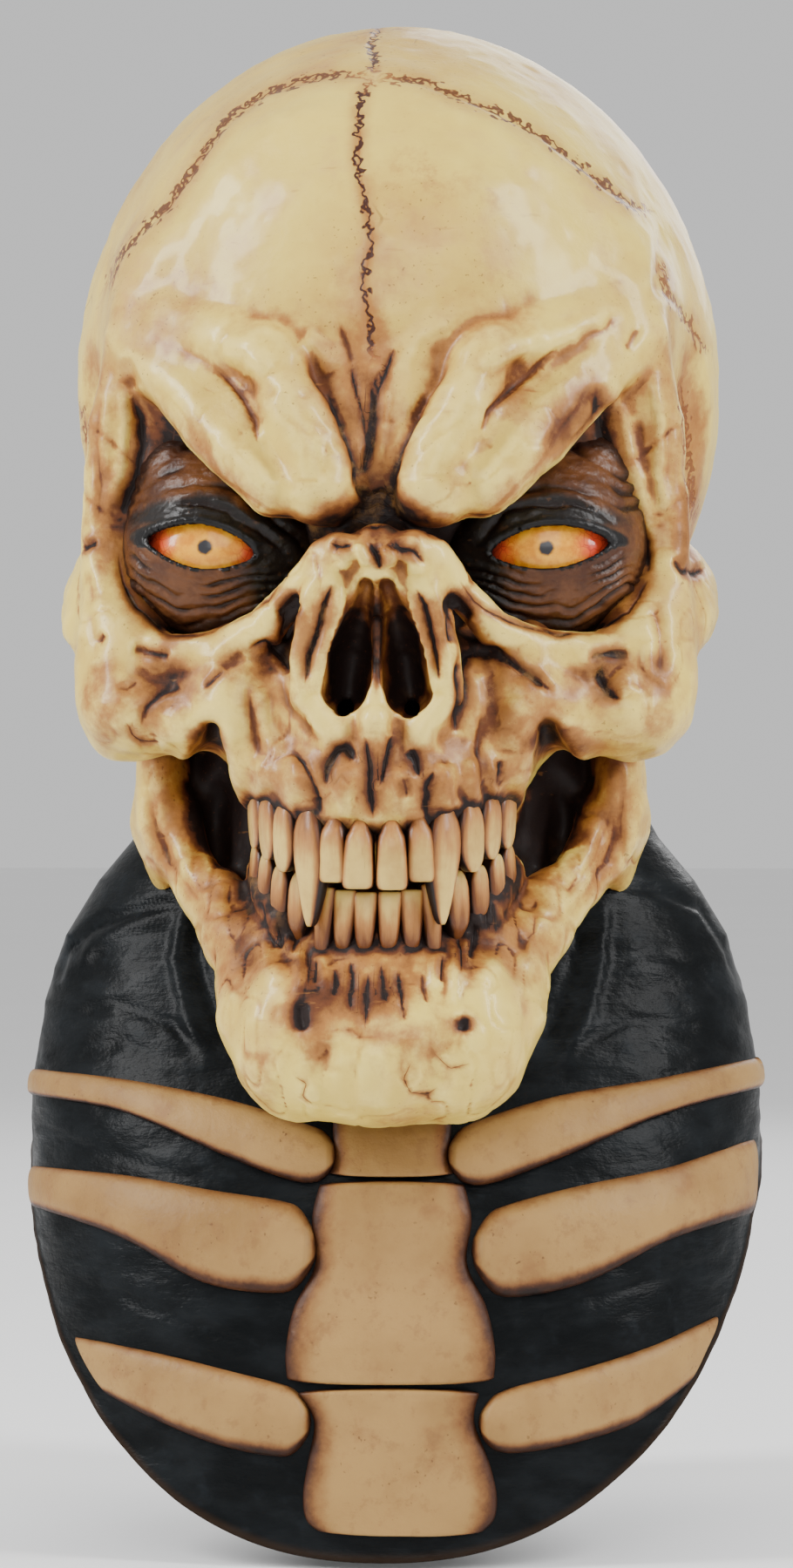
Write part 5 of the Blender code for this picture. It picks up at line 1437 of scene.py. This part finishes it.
def set_tooth(row, tooth, hand, side, number):
    """Makes one tooth, marks where it is brown and hangs it on its solid. Returns what stands free."""
    chance = chances[number]
    row_width = row.share * HEAD_WIDTH / 100
    points, heights, acrosses = tooth_points(tooth, side, row_width, row.set_back, chance)
    points[:, 1] -= TOOTH_BUMP * lattice_noise(points, TOOTH_BUMP_SIZE, 20 + (number + 1) % 5)
    name = f"{row.name}_{tooth.name}_{hand}"
    mesh = closed_loft(name, points, len(TOOTH_RINGS), TOOTH_SIDES, (side > 0) == (row.name == "upper"))
    dirt = 0.06 + 0.15 * tooth.middle / 100 + 0.08 * chances[number + 1][0]
    set_mark(mesh, "root", np.clip(row.root_start - heights * row.root_fall, 0, 1) + dirt)
    set_mark(mesh, "side", np.clip((acrosses - SIDE_START) * SIDE_RISE, 0, 1))
    dress(add_object("shown_" + name, mesh), name, enamel_material)
    return points[TOOTH_SIDES * 2:]


chances = np.random.default_rng(CHANCE_SEED).uniform(-1, 1, (CHANCES, 3))
for row in ROWS:
    for tooth in row.table:
        for hand, side in HANDS:
            tooth_skins.append(set_tooth(row, tooth, hand, side, len(tooth_skins)))
print(len(tooth_skins), "teeth set")

# %% Brown along the gums
GUMLINE_REACH, GUMLINE_STAIN, GUMLINE_MARGIN = 0.0022, 1.1, 0.004
free_points = np.concatenate(tooth_skins)
tooth_tree = KDTree(len(free_points))
for index, point in enumerate(free_points):
    tooth_tree.insert(point, index)
tooth_tree.balance()
low, high = free_points.min(axis=0) - GUMLINE_MARGIN, free_points.max(axis=0) + GUMLINE_MARGIN
gumline = np.zeros(len(skull_points))
for index in np.flatnonzero(((skull_points > low) & (skull_points < high)).all(axis=1)):
    gap = tooth_tree.find(skull_points[index])[2]
    gumline[index] = GUMLINE_STAIN * math.exp(-(gap / GUMLINE_REACH) ** 2)
set_mark(skull.data, "gumline", gumline)
print(int((gumline > 0.1).sum()), "points of gum are stained round the teeth")

# %% [markdown]
# ## Eyes
# The eyes are painted on smooth balls and varnished, so they gleam. The paint goes from amber in the
# middle to red in both corners, with fine veins, and the pupil is a small dark dot with a soft ring.
# The wearer doesn't look through them but through two small holes beside the nose.

# %% The eyes
EYE_PLACE = (24.4, 30.2, 49.6)
EYE_RADIUS, EYE_STRETCH = 0.021, 1.12
EYE_COLUMNS, EYE_ROWS = 72, 48
PUPIL = {"left": (627, 629), "right": (235, 628)}
CORNER_REACH = 66
AMBER, ORANGE = (0.80, 0.36, 0.02), (0.62, 0.22, 0.012)
RED, BLOOD = (0.70, 0.07, 0.03), (0.25, 0.015, 0.008)
VEIN, GOLD, PUPIL_BLACK = (0.35, 0.02, 0.015), (0.85, 0.45, 0.05), (0.030, 0.030, 0.034)


def ball_points(centre):
    """Points of an eye from its top to its bottom, row by row. It is a ball, stretched sideways."""
    turns = np.arange(EYE_COLUMNS) * 2 * math.pi / EYE_COLUMNS
    down, turn = np.meshgrid(np.linspace(0, math.pi, EYE_ROWS + 1), turns, indexing="ij")
    sideways = EYE_STRETCH * np.sin(down) * np.cos(turn)
    shell = np.stack([sideways, np.sin(down) * np.sin(turn), np.cos(down)], axis=-1)
    return centre + EYE_RADIUS * shell.reshape(-1, 3)


def painted_eye():
    """Amber that turns red towards the corners, with veins, a dark dot and a soft gold ring round it."""
    eye = Finish("painted_eye")
    corner, pupil = eye.mark("corner"), eye.mark("pupil")
    veins = (1 - eye.cell_edges(330.0).between(0.01, 0.06)) * corner.between(0.35, 0.8)
    mottle = eye.noise(260.0, 4.0, 0.65)
    reach = corner + (mottle - 0.5) * 0.25
    tone = eye.mix(mottle.between(0.35, 0.68), AMBER, ORANGE)
    tone = eye.mix(reach.between(0.40, 0.85), tone, RED)
    tone = eye.mix(reach.between(1.05, 1.4), tone, BLOOD)
    tone = eye.mix(veins * 0.6, tone, VEIN)
    ring = pupil.between(8.5, 11.5) * (1 - pupil.between(12.0, 17.0))
    tone = eye.mix(ring * 0.3, tone, GOLD)
    tone = eye.mix(1 - (pupil + (mottle - 0.5) * 3.0).between(7.0, 10.5), tone, PUPIL_BLACK)
    return eye.wear(Base_Color=tone, Roughness=0.2, Specular_IOR_Level=0.25, Coat_Weight=0.2,
                    Coat_Roughness=0.08, Normal=eye.bump(eye.noise(120.0, 2.0), 0.0002, 0.5))


eye_material = painted_eye()
for hand, side in HANDS:
    centre = at(*EYE_PLACE) * (side, 1, 1)
    points = ball_points(centre)
    mesh = closed_loft(f"eye_{hand}", points, EYE_ROWS + 1, EYE_COLUMNS, True)
    pixels = seen_at(points) - PUPIL[hand]
    set_mark(mesh, "corner", np.abs(pixels[:, 0]) / CORNER_REACH)
    set_mark(mesh, "pupil", np.where(points[:, 1] < centre[1], np.hypot(*pixels.T), 99))
    dress(add_object(f"shown_eye_{hand}", mesh), f"eye_{hand}", eye_material)
print("eyes at", at(*EYE_PLACE).round(4))

# %% [markdown]
# ## Lids
# Dark wrinkled flesh fills each socket round the eye. It is grown like the skull, and an almond is cut out
# of it for the eye. Wrinkles run round the almond like ripples round a stone. The lid's own edge is rolled
# and almost black.

# %% The form of the lids
LIDS = (
    Lump("lid_over_eye", ADD, 24.2, 30.7, 49.4, 12.8, 8.3, 6.4, 0),
    Lump("lid_inner", ADD, 19.5, 32, 49.2, 11.5, 4.3, 9.2, 6),
    Lump("lid_outer", ADD, 30.2, 26.5, 48.4, 8.0, 4.8, 9, 6),
    Roll("lid_corner", ADD, ((27, 29.5, 46, 5.5), (31, 28, 42, 3)), 1, 5),
)
LID_STEP = 0.0008
Almond = namedtuple("Almond", "column row wide up down tilt")
ALMOND = {"left": Almond(631, 629, 68, 27, 25, -5), "right": Almond(231, 628, 62, 27, 26, 8)}
ALMOND_PINCH, ALMOND_SIZE, ALMOND_BACK = 0.35, 0.007, 24


def almond_share(points, hand):
    """Below 1 inside the eye's opening, 1 on its edge. Measured in the picture, along the view."""
    almond = ALMOND[hand]
    pixels = seen_at(points) - (almond.column, almond.row)
    angle = math.radians(almond.tilt)
    across = (pixels[:, 0] * math.cos(angle) + pixels[:, 1] * math.sin(angle)) / almond.wide
    upright = pixels[:, 1] * math.cos(angle) - pixels[:, 0] * math.sin(angle)
    height = np.where(upright < 0, almond.up, almond.down)
    pinch = 1 + ALMOND_PINCH * np.clip(np.abs(across), 0, 1.3) ** 2
    return np.hypot(across, upright / height * pinch)


def lid_distance(points, side, hand):
    distance = forms_distance(LIDS, points * (side, 1, 1))
    front = points[:, 1] < at(0, ALMOND_BACK, 0)[1]
    cut = np.where(front, ALMOND_SIZE * (1 - almond_share(points, hand)), -1)
    return np.maximum(distance, cut)


print(len(LIDS), "forms in each lid")

# %% Wrinkles round the eye
WARPS = (Bump(0.16, 0.011, 31), Bump(0.07, 0.005, 32))
WRINKLE_PATCH, FINE_WRINKLE = Bump(0.9, 0.010, 33), Bump(0.00022, 0.0022, 34)
WRINKLE_HEIGHT, RIM_HEIGHT, RIM_START = 0.0019, 0.0010, 0.10
UPPER_RIM, LOWER_RIM = 0.20, 0.07


def wrinkle(points, hand):
    """Height and darkness of the wrinkles round one eye, and where the lid's dark edge is."""
    share = almond_share(points, hand) - 1
    below = np.clip((seen_at(points)[:, 1] - ALMOND[hand].row) / 40, -1, 1)
    warp = bumpy(points, *WARPS)
    phase = (share + warp * 2.0 - 0.30 * np.clip(-below, 0, 1)) * (4.6 + 1.2 * below)
    wave = np.cos(phase * 2) * 0.5 + 0.5
    fade = np.clip(share * 3.2 - 0.9 + 0.4 * below, 0, 1) * np.clip(4.6 - share, 0, 1)
    patchy = np.clip(0.55 + bumpy(points, WRINKLE_PATCH), 0.1, 1)
    fine = bumpy(points * (1, 1, 2.6), FINE_WRINKLE) * np.clip(share * 3, 0, 1)
    height = WRINKLE_HEIGHT * (wave**0.5 - 0.6) * fade * patchy + fine
    thick = np.where(below < 0, UPPER_RIM, LOWER_RIM)
    rim = np.exp(-((share - thick * 0.7) / thick) ** 2)
    height = np.where(share < RIM_START, 0, height) + RIM_HEIGHT * rim
    return height, (1 - wave) ** 2.2 * fade * patchy, rim


print("the lid's edge stands", RIM_HEIGHT, "proud")

# %% Lid finish
FLESH, DARK_FLESH, PALE_FLESH = (0.105, 0.038, 0.012), (0.045, 0.014, 0.005), (0.17, 0.075, 0.03)
LID_BLACK_AND_SHADE, FOLD_AND_SHADE_BLACK, RIM_BLACK = (0.008, 0.006, 0.005), (0.008, 0.003, 0.002), (0.004, 0.0035, 0.0035)


def dark_lid():
    """Brown flesh, black above the eye and in the folds, painted shade beside the nose and next to the bone,
    black on the lid's edge.
    """
    flesh = Finish("dark_lid")
    meat, fine = flesh.noise(75.0, 5.0, 0.65), flesh.noise(420.0, 3.0, 0.6)
    rim = flesh.mark("rim")
    tone = flesh.mix(meat.between(0.35, 0.68), FLESH, DARK_FLESH)
    # Painted shade: the black beside the nose and next to the bone. Above the eye and in the folds the black
    # is paint.
    tone = flesh.mix((flesh.mark("above") + (meat - 0.5) * 0.6).between(0.2, 0.8), tone, LID_BLACK_AND_SHADE)
    tone = flesh.mix(flesh.mark("fold").between(0.15, 0.8) * 0.85, tone, FOLD_AND_SHADE_BLACK)
    tone = flesh.mix(rim.between(0.25, 0.7), tone, RIM_BLACK)
    tone = flesh.mix(fine.between(0.60, 0.75) * (1 - rim) * 0.25, tone, PALE_FLESH)
    relief = flesh.bump(fine * 0.5 + meat * 0.5, 0.0007, 0.8)
    return flesh.wear(Base_Color=tone, Roughness=0.24 + meat * 0.22, Specular_IOR_Level=0.24, Normal=relief)


flesh_material = dark_lid()
print("lid finish ready")

# %% Grow the lids
BONE_SHADE = 0.0032
LID_LOW, LID_HIGH = at(4, 44, 62), at(44, 18, 34)
SOOT_RISE, SOOT_BLEND, SOOT_REACH = 6, 26, 90
FACE_COLUMN, NOSE_SHADE, NOSE_BLEND = 433, 172, 46


def black_and_shade_share(points, hand):
    """1 above the eye, where the lids are painted blackest, and beside the nose, where they are darkened as
    painted shade.
    """
    pixels, almond = seen_at(points), ALMOND[hand]
    upward = np.clip((almond.row - SOOT_RISE - pixels[:, 1]) / SOOT_BLEND, 0, 1)
    inward = np.clip(1.5 - np.abs(pixels[:, 0] - almond.column) / SOOT_REACH, 0, 1)
    close = np.clip(2.0 - 1.15 * (almond_share(points, hand) - 1), 0, 1)
    # Beside the nose the lids are darkened as painted shade.
    by_nose = np.clip((NOSE_SHADE - np.abs(pixels[:, 0] - FACE_COLUMN)) / NOSE_BLEND, 0, 1)
    return np.maximum(upward * inward * close, by_nose)


for hand, side in HANDS:
    points, faces = skin_net(lambda places: lid_distance(places, side, hand),
                             LID_LOW * (side, 1, 1), LID_HIGH * (side, 1, 1), LID_STEP)
    mesh = mesh_of(f"eyelids_{hand}", points, faces)
    normals = read_vectors(mesh, "normal")
    height, fold_stain, rim_share = wrinkle(points, hand)
    points = points + normals * (height * facing(normals, 3))[:, None]
    set_points(mesh, points)
    # Next to the bone the lids are darkened as painted shade.
    by_bone = np.exp(-(np.maximum(forms_distance(SKULL, points), 0) / BONE_SHADE) ** 2)
    set_mark(mesh, "fold", np.maximum(fold_stain, by_bone))
    set_mark(mesh, "rim", rim_share)
    set_mark(mesh, "above", black_and_shade_share(points, hand))
    dress(add_object(f"shown_eyelids_{hand}", mesh), f"eyelids_{hand}", flesh_material)
    print("lids", hand, len(faces), "faces")

# %% [markdown]
# ## The black neck and bib
# One sheet of glossy black latex runs from a collar inside the head to the hem. It is a grid of points on
# the neck's shape, thickened inwards. It was brushed on, so it is never quite flat: broad creases run out
# from under the jaw, and a lip runs along the hem.

# %% The neck and bib
BIB_COLUMNS, BIB_ROWS = ((300, 130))
CROWDED_SHOULDERS = 0.10
RIPPLE, FLAT_RIPPLE = Bump(0.0006, 0.022, 41), Bump(0.00035, 0.009, 42)
RIPPLE_TOP = height_at(84)
LIP_REACH, LIP_HEIGHT = 0.005, 0.0007
BIB_CREASES = table(Stroke, (
    ("neck_fold_left_1", 9, 1.8, (232, 1035, 225, 1090, 240, 1150, 262, 1200)),
    ("neck_fold_left_2", 8, -1.4, (210, 1040, 202, 1100, 216, 1170, 240, 1225)),
    ("shoulder_line_left", 6, 1.6, (205, 1034, 150, 1046, 104, 1064, 78, 1088, 64, 1130)),
    ("shoulder_fold_left", 8, -1.2, (196, 1052, 146, 1064, 108, 1084, 86, 1120)),
    ("bib_crease_left_1", 7, 0.9, (70, 1180, 130, 1150, 190, 1170, 236, 1210)),
    ("bib_crease_left_2", 6, 0.7, (90, 1210, 140, 1196, 200, 1216)),
    ("neck_fold_right_1", 9, 1.2, (668, 1045, 660, 1100, 640, 1160, 618, 1215)),
    ("neck_fold_right_2", 8, -1.4, (694, 1035, 690, 1100, 672, 1170, 640, 1230)),
    ("shoulder_line_right", 6, 1.4, (700, 1018, 752, 1020, 806, 1042, 836, 1090, 852, 1140)),
    ("bib_crease_right_1", 6, 0.6, (690, 1120, 740, 1090, 800, 1110, 842, 1160)),
    ("bib_crease_right_2", 6, 0.8, (660, 1200, 730, 1170, 800, 1180)),
    ("bib_crease_low_1", 6, 0.7, (40, 1300, 110, 1320, 200, 1345, 270, 1362)),
    ("bib_crease_low_2", 6, 0.7, (560, 1520, 650, 1500, 760, 1465, 840, 1440)),
    ("bib_crease_low_3", 6, 0.7, (90, 1470, 170, 1500, 260, 1535, 320, 1560)),
))
columns = np.arange(BIB_COLUMNS) * 2 * math.pi / BIB_COLUMNS
turns, rows = np.meshgrid(columns, np.linspace(0, 1, BIB_ROWS + 1), indexing="ij")
turns = turns + CROWDED_SHOULDERS * np.sin(2 * turns)
heights = collar_height(turns) + (hem_height(turns) - collar_height(turns)) * rows
sheet = neck_points(turns, heights).reshape(-1, 3)
cells = np.arange(len(sheet)).reshape(BIB_COLUMNS, BIB_ROWS + 1)
beside = np.roll(cells, -1, axis=0)
sheet_faces = np.stack([cells[:, :-1], cells[:, 1:], beside[:, 1:], beside[:, :-1]], axis=-1).reshape(-1, 4)
sheet_normals = read_vectors(mesh_of("bib_sheet", sheet, sheet_faces), "normal")
outward = np.where((sheet_normals[:, :2] * sheet[:, :2]).sum(axis=1) < 0, -1, 1)
sheet_normals *= outward[:, None]
print(len(sheet), "points in the bib's outside")

# %% Crease the bib and give it thickness
moved = carve(sheet, sheet_normals, BIB_CREASES, ())[0]
to_hem = (1 - rows) * (collar_height(turns) - hem_height(turns))
lip = np.clip(1 - to_hem.reshape(-1) / LIP_REACH, 0, 1)
ripple = bumpy(sheet, RIPPLE) + bumpy(sheet * (1, 1, 2.2), FLAT_RIPPLE)
proud = moved + ripple * (heights.reshape(-1) < RIPPLE_TOP) + LIP_HEIGHT * lip**2
outer = sheet + sheet_normals * proud[:, None]
inner = sheet - sheet_normals * BIB_SKIN
count = len(sheet)
collar_faces = np.stack([cells[:, 0], beside[:, 0], beside[:, 0] + count, cells[:, 0] + count], axis=-1)
hem_faces = np.stack([cells[:, -1], cells[:, -1] + count, beside[:, -1] + count, beside[:, -1]], axis=-1)
bib_faces = np.concatenate([sheet_faces, sheet_faces[:, ::-1] + count, collar_faces, hem_faces])
bib_mesh = mesh_of("black_bib", np.concatenate([outer, inner]), bib_faces)
set_mark(bib_mesh, "hem", np.concatenate([lip, lip]))
print("bib with", len(bib_faces), "faces")

# %% Black latex
BLACK, SOFT_BLACK = (0.0034, 0.0040, 0.0044), (0.0085, 0.0100, 0.0112)
DUSTY_SHEEN, RUBBED_SHEEN, HEM_BROWN = (0.016, 0.020, 0.024), (0.022, 0.027, 0.033), (0.030, 0.016, 0.008)


def black_latex():
    """Glossy black with brush streaks, bluish dusty and worn patches that are partly painted sheen, and
    brownish along the hem.
    """
    black = Finish("glossy_black_latex")
    brushed = black.noise(1.0, 5.0, 0.6, black.stretched(36, 36, 75))
    dust_and_sheen = black.noise(95.0, 5.0, 0.65)
    rubbed_and_sheen = black.noise(13.0, 3.0).between(0.55, 0.75) * brushed.between(0.5, 0.75)
    tone = black.mix(brushed.between(0.35, 0.7), BLACK, SOFT_BLACK)
    # Partly painted sheen: the bluish dusty and worn patches stand for real dustiness and wear and also for
    # the bluish gloss of the black.
    tone = black.mix(dust_and_sheen.between(0.55, 0.8) * 0.4, tone, DUSTY_SHEEN)
    tone = black.mix(rubbed_and_sheen * 0.5, tone, RUBBED_SHEEN)
    tone = black.mix(black.mark("hem").between(0.25, 0.9) * 0.6, tone, HEM_BROWN)
    streaks = black.noise(1.0, 4.0, 0.65, black.stretched(60, 60, 260))
    relief = black.bump(brushed * 1.1 + streaks * 0.35 + dust_and_sheen * 0.3, 0.0012, 0.8)
    return black.wear(Base_Color=tone, Roughness=0.20 + dust_and_sheen * 0.24, Specular_IOR_Level=0.06, Normal=relief)


dress(add_object("shown_bib", bib_mesh), "neck_bib", black_latex())
print("bib dressed")

# %% [markdown]
# ## Ribs and breastbone
# The ribs and the three plates of the breastbone are cast in relief on the bib and painted like old bone,
# with brown along their edges. These edges are read off the picture, and each pixel is carried along the
# line of sight until it meets the bib, so the bones lie on it from every side.

# %% From the picture to the bib
SIGHT_ROUNDS, WIDEST_SIGHT = 12, 0.9985


def bib_at(pixels):
    """The turn and the height on the bib that are seen at each pixel."""
    pixels = np.asarray(pixels, float)
    depth = np.full(len(pixels), DISTANCE - BIB_FRONT)
    for _ in range(SIGHT_ROUNDS):
        z = AIM[2] - (pixels[:, 1] - FRAME_HEIGHT / 2) / PIXELS_PER_TAN * depth
        sideways = (pixels[:, 0] - FRAME_WIDTH / 2) / PIXELS_PER_TAN * depth
        x = camera.location[0] + sideways * right[0] + depth * forward[0]
        limit = neck_sizes(z)[0] * WIDEST_SIGHT
        turn = turns_at(np.clip(x, -limit, limit), z)
        y = neck_points(turn, z)[:, 1]
        depth = (np.stack([x, y], axis=1) - np.array(camera.location)[:2]) @ np.array(forward)[:2]
    return turn, z


def soft_edge(pixels, count):
    """Evenly spread points on a soft curve through a few pixels, given column and row by turns."""
    values = np.reshape(pixels, (-1, 2)).astype(float)
    shares = np.linspace(0, len(values) - 1, count)
    start = np.clip(shares.astype(int), 0, len(values) - 2)
    padded = np.concatenate([[2 * values[0] - values[1]], values, [2 * values[-1] - values[-2]]])
    t = (shares - start)[:, None]
    before, first, second, after = (padded[start + i] for i in range(4))
    return 0.5 * (2 * first + (second - before) * t + (2 * before - 5 * first + 4 * second - after) * t**2
                  + (3 * first - before - 3 * second + after) * t**3)


print("turn and height in the middle of the bib:", *bib_at([(430, 1500)]))

# %% Edges of the ribs and plates, in pixels of the picture
Rib = namedtuple("Rib", "name relief upper lower")
RIBS = table(Rib, (
    ("rib_right_1", 6.5, (386, 1303, 345, 1288, 262, 1262, 150, 1240, 36, 1226), (386, 1350, 345, 1357,
        268, 1330, 150, 1278, 33, 1256)),
    ("rib_right_2", 6.5, (364, 1396, 330, 1380, 250, 1367, 150, 1350, 34, 1338), (364, 1468, 322, 1484,
        235, 1472, 140, 1420, 36, 1384)),
    ("rib_right_3", 6.0, (357, 1600, 320, 1588, 250, 1570, 165, 1550, 84, 1534), (357, 1664, 320, 1672,
        250, 1658, 180, 1630, 122, 1600)),
    ("rib_left_1", 6.5, (513, 1303, 555, 1284, 640, 1258, 755, 1238, 880, 1212), (513, 1350, 555, 1360,
        640, 1330, 755, 1280, 880, 1246)),
    ("rib_left_2", 6.5, (541, 1402, 580, 1384, 660, 1362, 765, 1340, 868, 1306), (541, 1472, 585, 1489,
        670, 1472, 765, 1424, 865, 1392)),
    ("rib_left_3", 6.0, (549, 1610, 590, 1592, 660, 1574, 745, 1546, 826, 1510), (549, 1660, 590, 1668,
        660, 1656, 730, 1632, 790, 1588)),
))
Plate = namedtuple("Plate", "name relief left right")
PLATES = table(Plate, (
    ("breastbone_top", 5.0, (384, 1262, 382, 1300, 384, 1330, 376, 1351), (516, 1262, 518, 1300, 514, 1330,
        524, 1351)),
    ("breastbone_middle", 5.5, (368, 1355, 358, 1400, 362, 1450, 338, 1500, 328, 1550, 330, 1590),
        (532, 1355, 541, 1400, 536, 1450, 558, 1500, 568, 1550, 566, 1590)),
    ("breastbone_lower", 5.5, (338, 1593, 360, 1630, 354, 1675, 348, 1715, 352, 1745, 372, 1762),
        (552, 1593, 544, 1630, 560, 1675, 570, 1715, 566, 1745, 546, 1764)),
))
print(len(RIBS), "ribs and", len(PLATES), "plates")

# %% A raised bar on the bib
RELIEF_SINK = 0.0007
RIB_STATIONS, RIB_SIDES = ((90, 32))
BAR_SQUARENESS, BAR_FLATNESS, THINNEST_END = 0.85, 0.62, 0.04
BAR_BUMP = Bump(0.00025, 0.008, 51)
EDGE_START, EDGE_BLEND, LOWER_EDGE_SHADE = 0.60, 0.38, 0.16
Form = namedtuple("Form", "round_start round_end fade")
RIB_FORM, PLATE_FORM = Form(0.9, 0.05, 0.55), Form(0.07, 0.07, 0.0)


def bar_section():
    """Places round a bar's section: how far across, from -1 to 1, and how far out. Its back is flat."""
    angle = np.linspace(math.pi, 0, RIB_SIDES + 1)
    across = np.sign(np.cos(angle)) * np.abs(np.cos(angle)) ** BAR_SQUARENESS
    out = np.concatenate([np.sin(angle) ** BAR_FLATNESS, np.zeros(RIB_SIDES - 1)])
    return np.concatenate([across, across[-2:0:-1]]), out


def end_rounding(travel, width, form):
    """How wide the bar is at each station, from a rounded start to a rounded end, 1 in between."""
    near_start = np.clip(travel / (width[0] * form.round_start + 1e-6), 0, 1)
    near_end = np.clip((travel[-1] - travel) / (width[-1] * form.round_end + 1e-6), 0, 1)
    roundness = np.sqrt(1 - (1 - near_start) ** 2) * np.sqrt(1 - (1 - near_end) ** 2)
    return THINNEST_END + (1 - THINNEST_END) * roundness


def relief_mesh(name, first_edge, second_edge, relief, form):
    """A raised bar on the bib between two edges given in pixels."""
    first, second = soft_edge(first_edge, RIB_STATIONS), soft_edge(second_edge, RIB_STATIONS)
    middle, half = (first + second) / 2, (second - first) / 2
    travel = np.concatenate([[0], np.cumsum(np.linalg.norm(np.diff(middle, axis=0), axis=1))])
    roundness = end_rounding(travel, np.linalg.norm(half, axis=1), form)
    across, out = bar_section()
    pixels = middle[:, None] + half[:, None] * (across[None, :, None] * roundness[:, None, None])
    turn, z = bib_at(pixels.reshape(-1, 2))
    lift = relief * np.minimum(1, 0.25 + roundness) * (1 - form.fade * (travel / travel[-1]) ** 2)
    proud = (out[None, :] * lift[:, None]).reshape(-1)
    base = neck_points(turn, z)
    away = neck_points(turn, z, 0.001) - base
    away /= np.linalg.norm(away, axis=1)[:, None]
    points = base + away * (proud * 0.001 - RELIEF_SINK)[:, None]
    points += away * (bumpy(points, BAR_BUMP) * (np.tile(out, RIB_STATIONS) > 0))[:, None]
    mesh = closed_loft(name, points, RIB_STATIONS, len(across))
    # Painted shade: a rib's lower edge takes more brown than its upper one, as shade falls under it.
    lean = LOWER_EDGE_SHADE * across if form.fade else 0
    edges = np.tile(np.clip((np.abs(across) - EDGE_START + lean) / EDGE_BLEND, 0, 1), RIB_STATIONS)
    ends = np.repeat(np.clip((0.75 - roundness) / 0.5, 0, 1), len(across))
    set_mark(mesh, "stain", np.maximum(edges, ends))
    return mesh


print("bars are sunk", RELIEF_SINK, "into the bib")

# %% Rib finish
RIB_LIGHT, RIB_WARM, RIB_PATCH = (0.33, 0.195, 0.064), (0.22, 0.116, 0.035), (0.20, 0.085, 0.030)
RIB_MOTTLE, RIB_BROWN, RIB_EDGE = (0.17, 0.075, 0.028), (0.17, 0.062, 0.018), (0.050, 0.016, 0.006)
RIB_BLACK, RIB_SPECK = (0.008, 0.004, 0.003), (0.08, 0.03, 0.012)


def old_rib_bone():
    """Tan bone, mottled, with brown worn along its edges, more on a rib's lower edge as painted shade, and a
    few specks.
    """
    bone = Finish("old_rib_bone")
    clouds, patches = bone.noise(14.0, 5.0, 0.6), bone.noise(55.0, 5.0, 0.65)
    fine, grain = bone.noise(150.0, 5.0, 0.7), bone.noise(260.0, 3.0)
    tone = bone.mix(clouds.between(0.35, 0.68), RIB_LIGHT, RIB_WARM)
    tone = bone.mix(patches.between(0.52, 0.74) * 0.6, tone, RIB_PATCH)
    tone = bone.mix(fine.between(0.52, 0.68) * 0.35, tone, RIB_MOTTLE)
    edge = bone.mark("stain") + (patches - 0.5) * 0.6 + (fine - 0.5) * 0.5
    tone = bone.mix(edge.between(0.10, 0.70) * 0.8, tone, RIB_BROWN)
    tone = bone.mix(edge.between(0.5, 0.95), tone, RIB_EDGE)
    tone = bone.mix(edge.between(0.85, 1.2), tone, RIB_BLACK)
    specks = bone.noise(640.0, 1.0).between(0.69, 0.75) * patches.between(0.45, 0.6)
    tone = bone.mix(specks * 0.6, tone, RIB_SPECK)
    height = bone.noise(90.0, 5.0, 0.6) * 0.8 + fine * 0.5 + grain * 0.2
    return bone.wear(Base_Color=tone, Roughness=0.38 + patches * 0.2, Specular_IOR_Level=0.22,
                     Normal=bone.bump(height, 0.0008, 0.8))


old_material = old_rib_bone()
print("rib finish ready")

# %% Lay the ribs and plates
for rib in RIBS:
    mesh = relief_mesh(rib.name, rib.upper, rib.lower, rib.relief, RIB_FORM)
    dress(add_object("shown_" + rib.name, mesh), rib.name, old_material)
for plate in PLATES:
    mesh = relief_mesh(plate.name, plate.left, plate.right, plate.relief, PLATE_FORM)
    dress(add_object("shown_" + plate.name, mesh), plate.name, old_material)
print(len(RIBS) + len(PLATES), "bones on the bib")

# %% [markdown]
# ## The size
# The box of the solids is printed once more, at the end.

# %% Print the box of the solids
print("solids", cad_box)
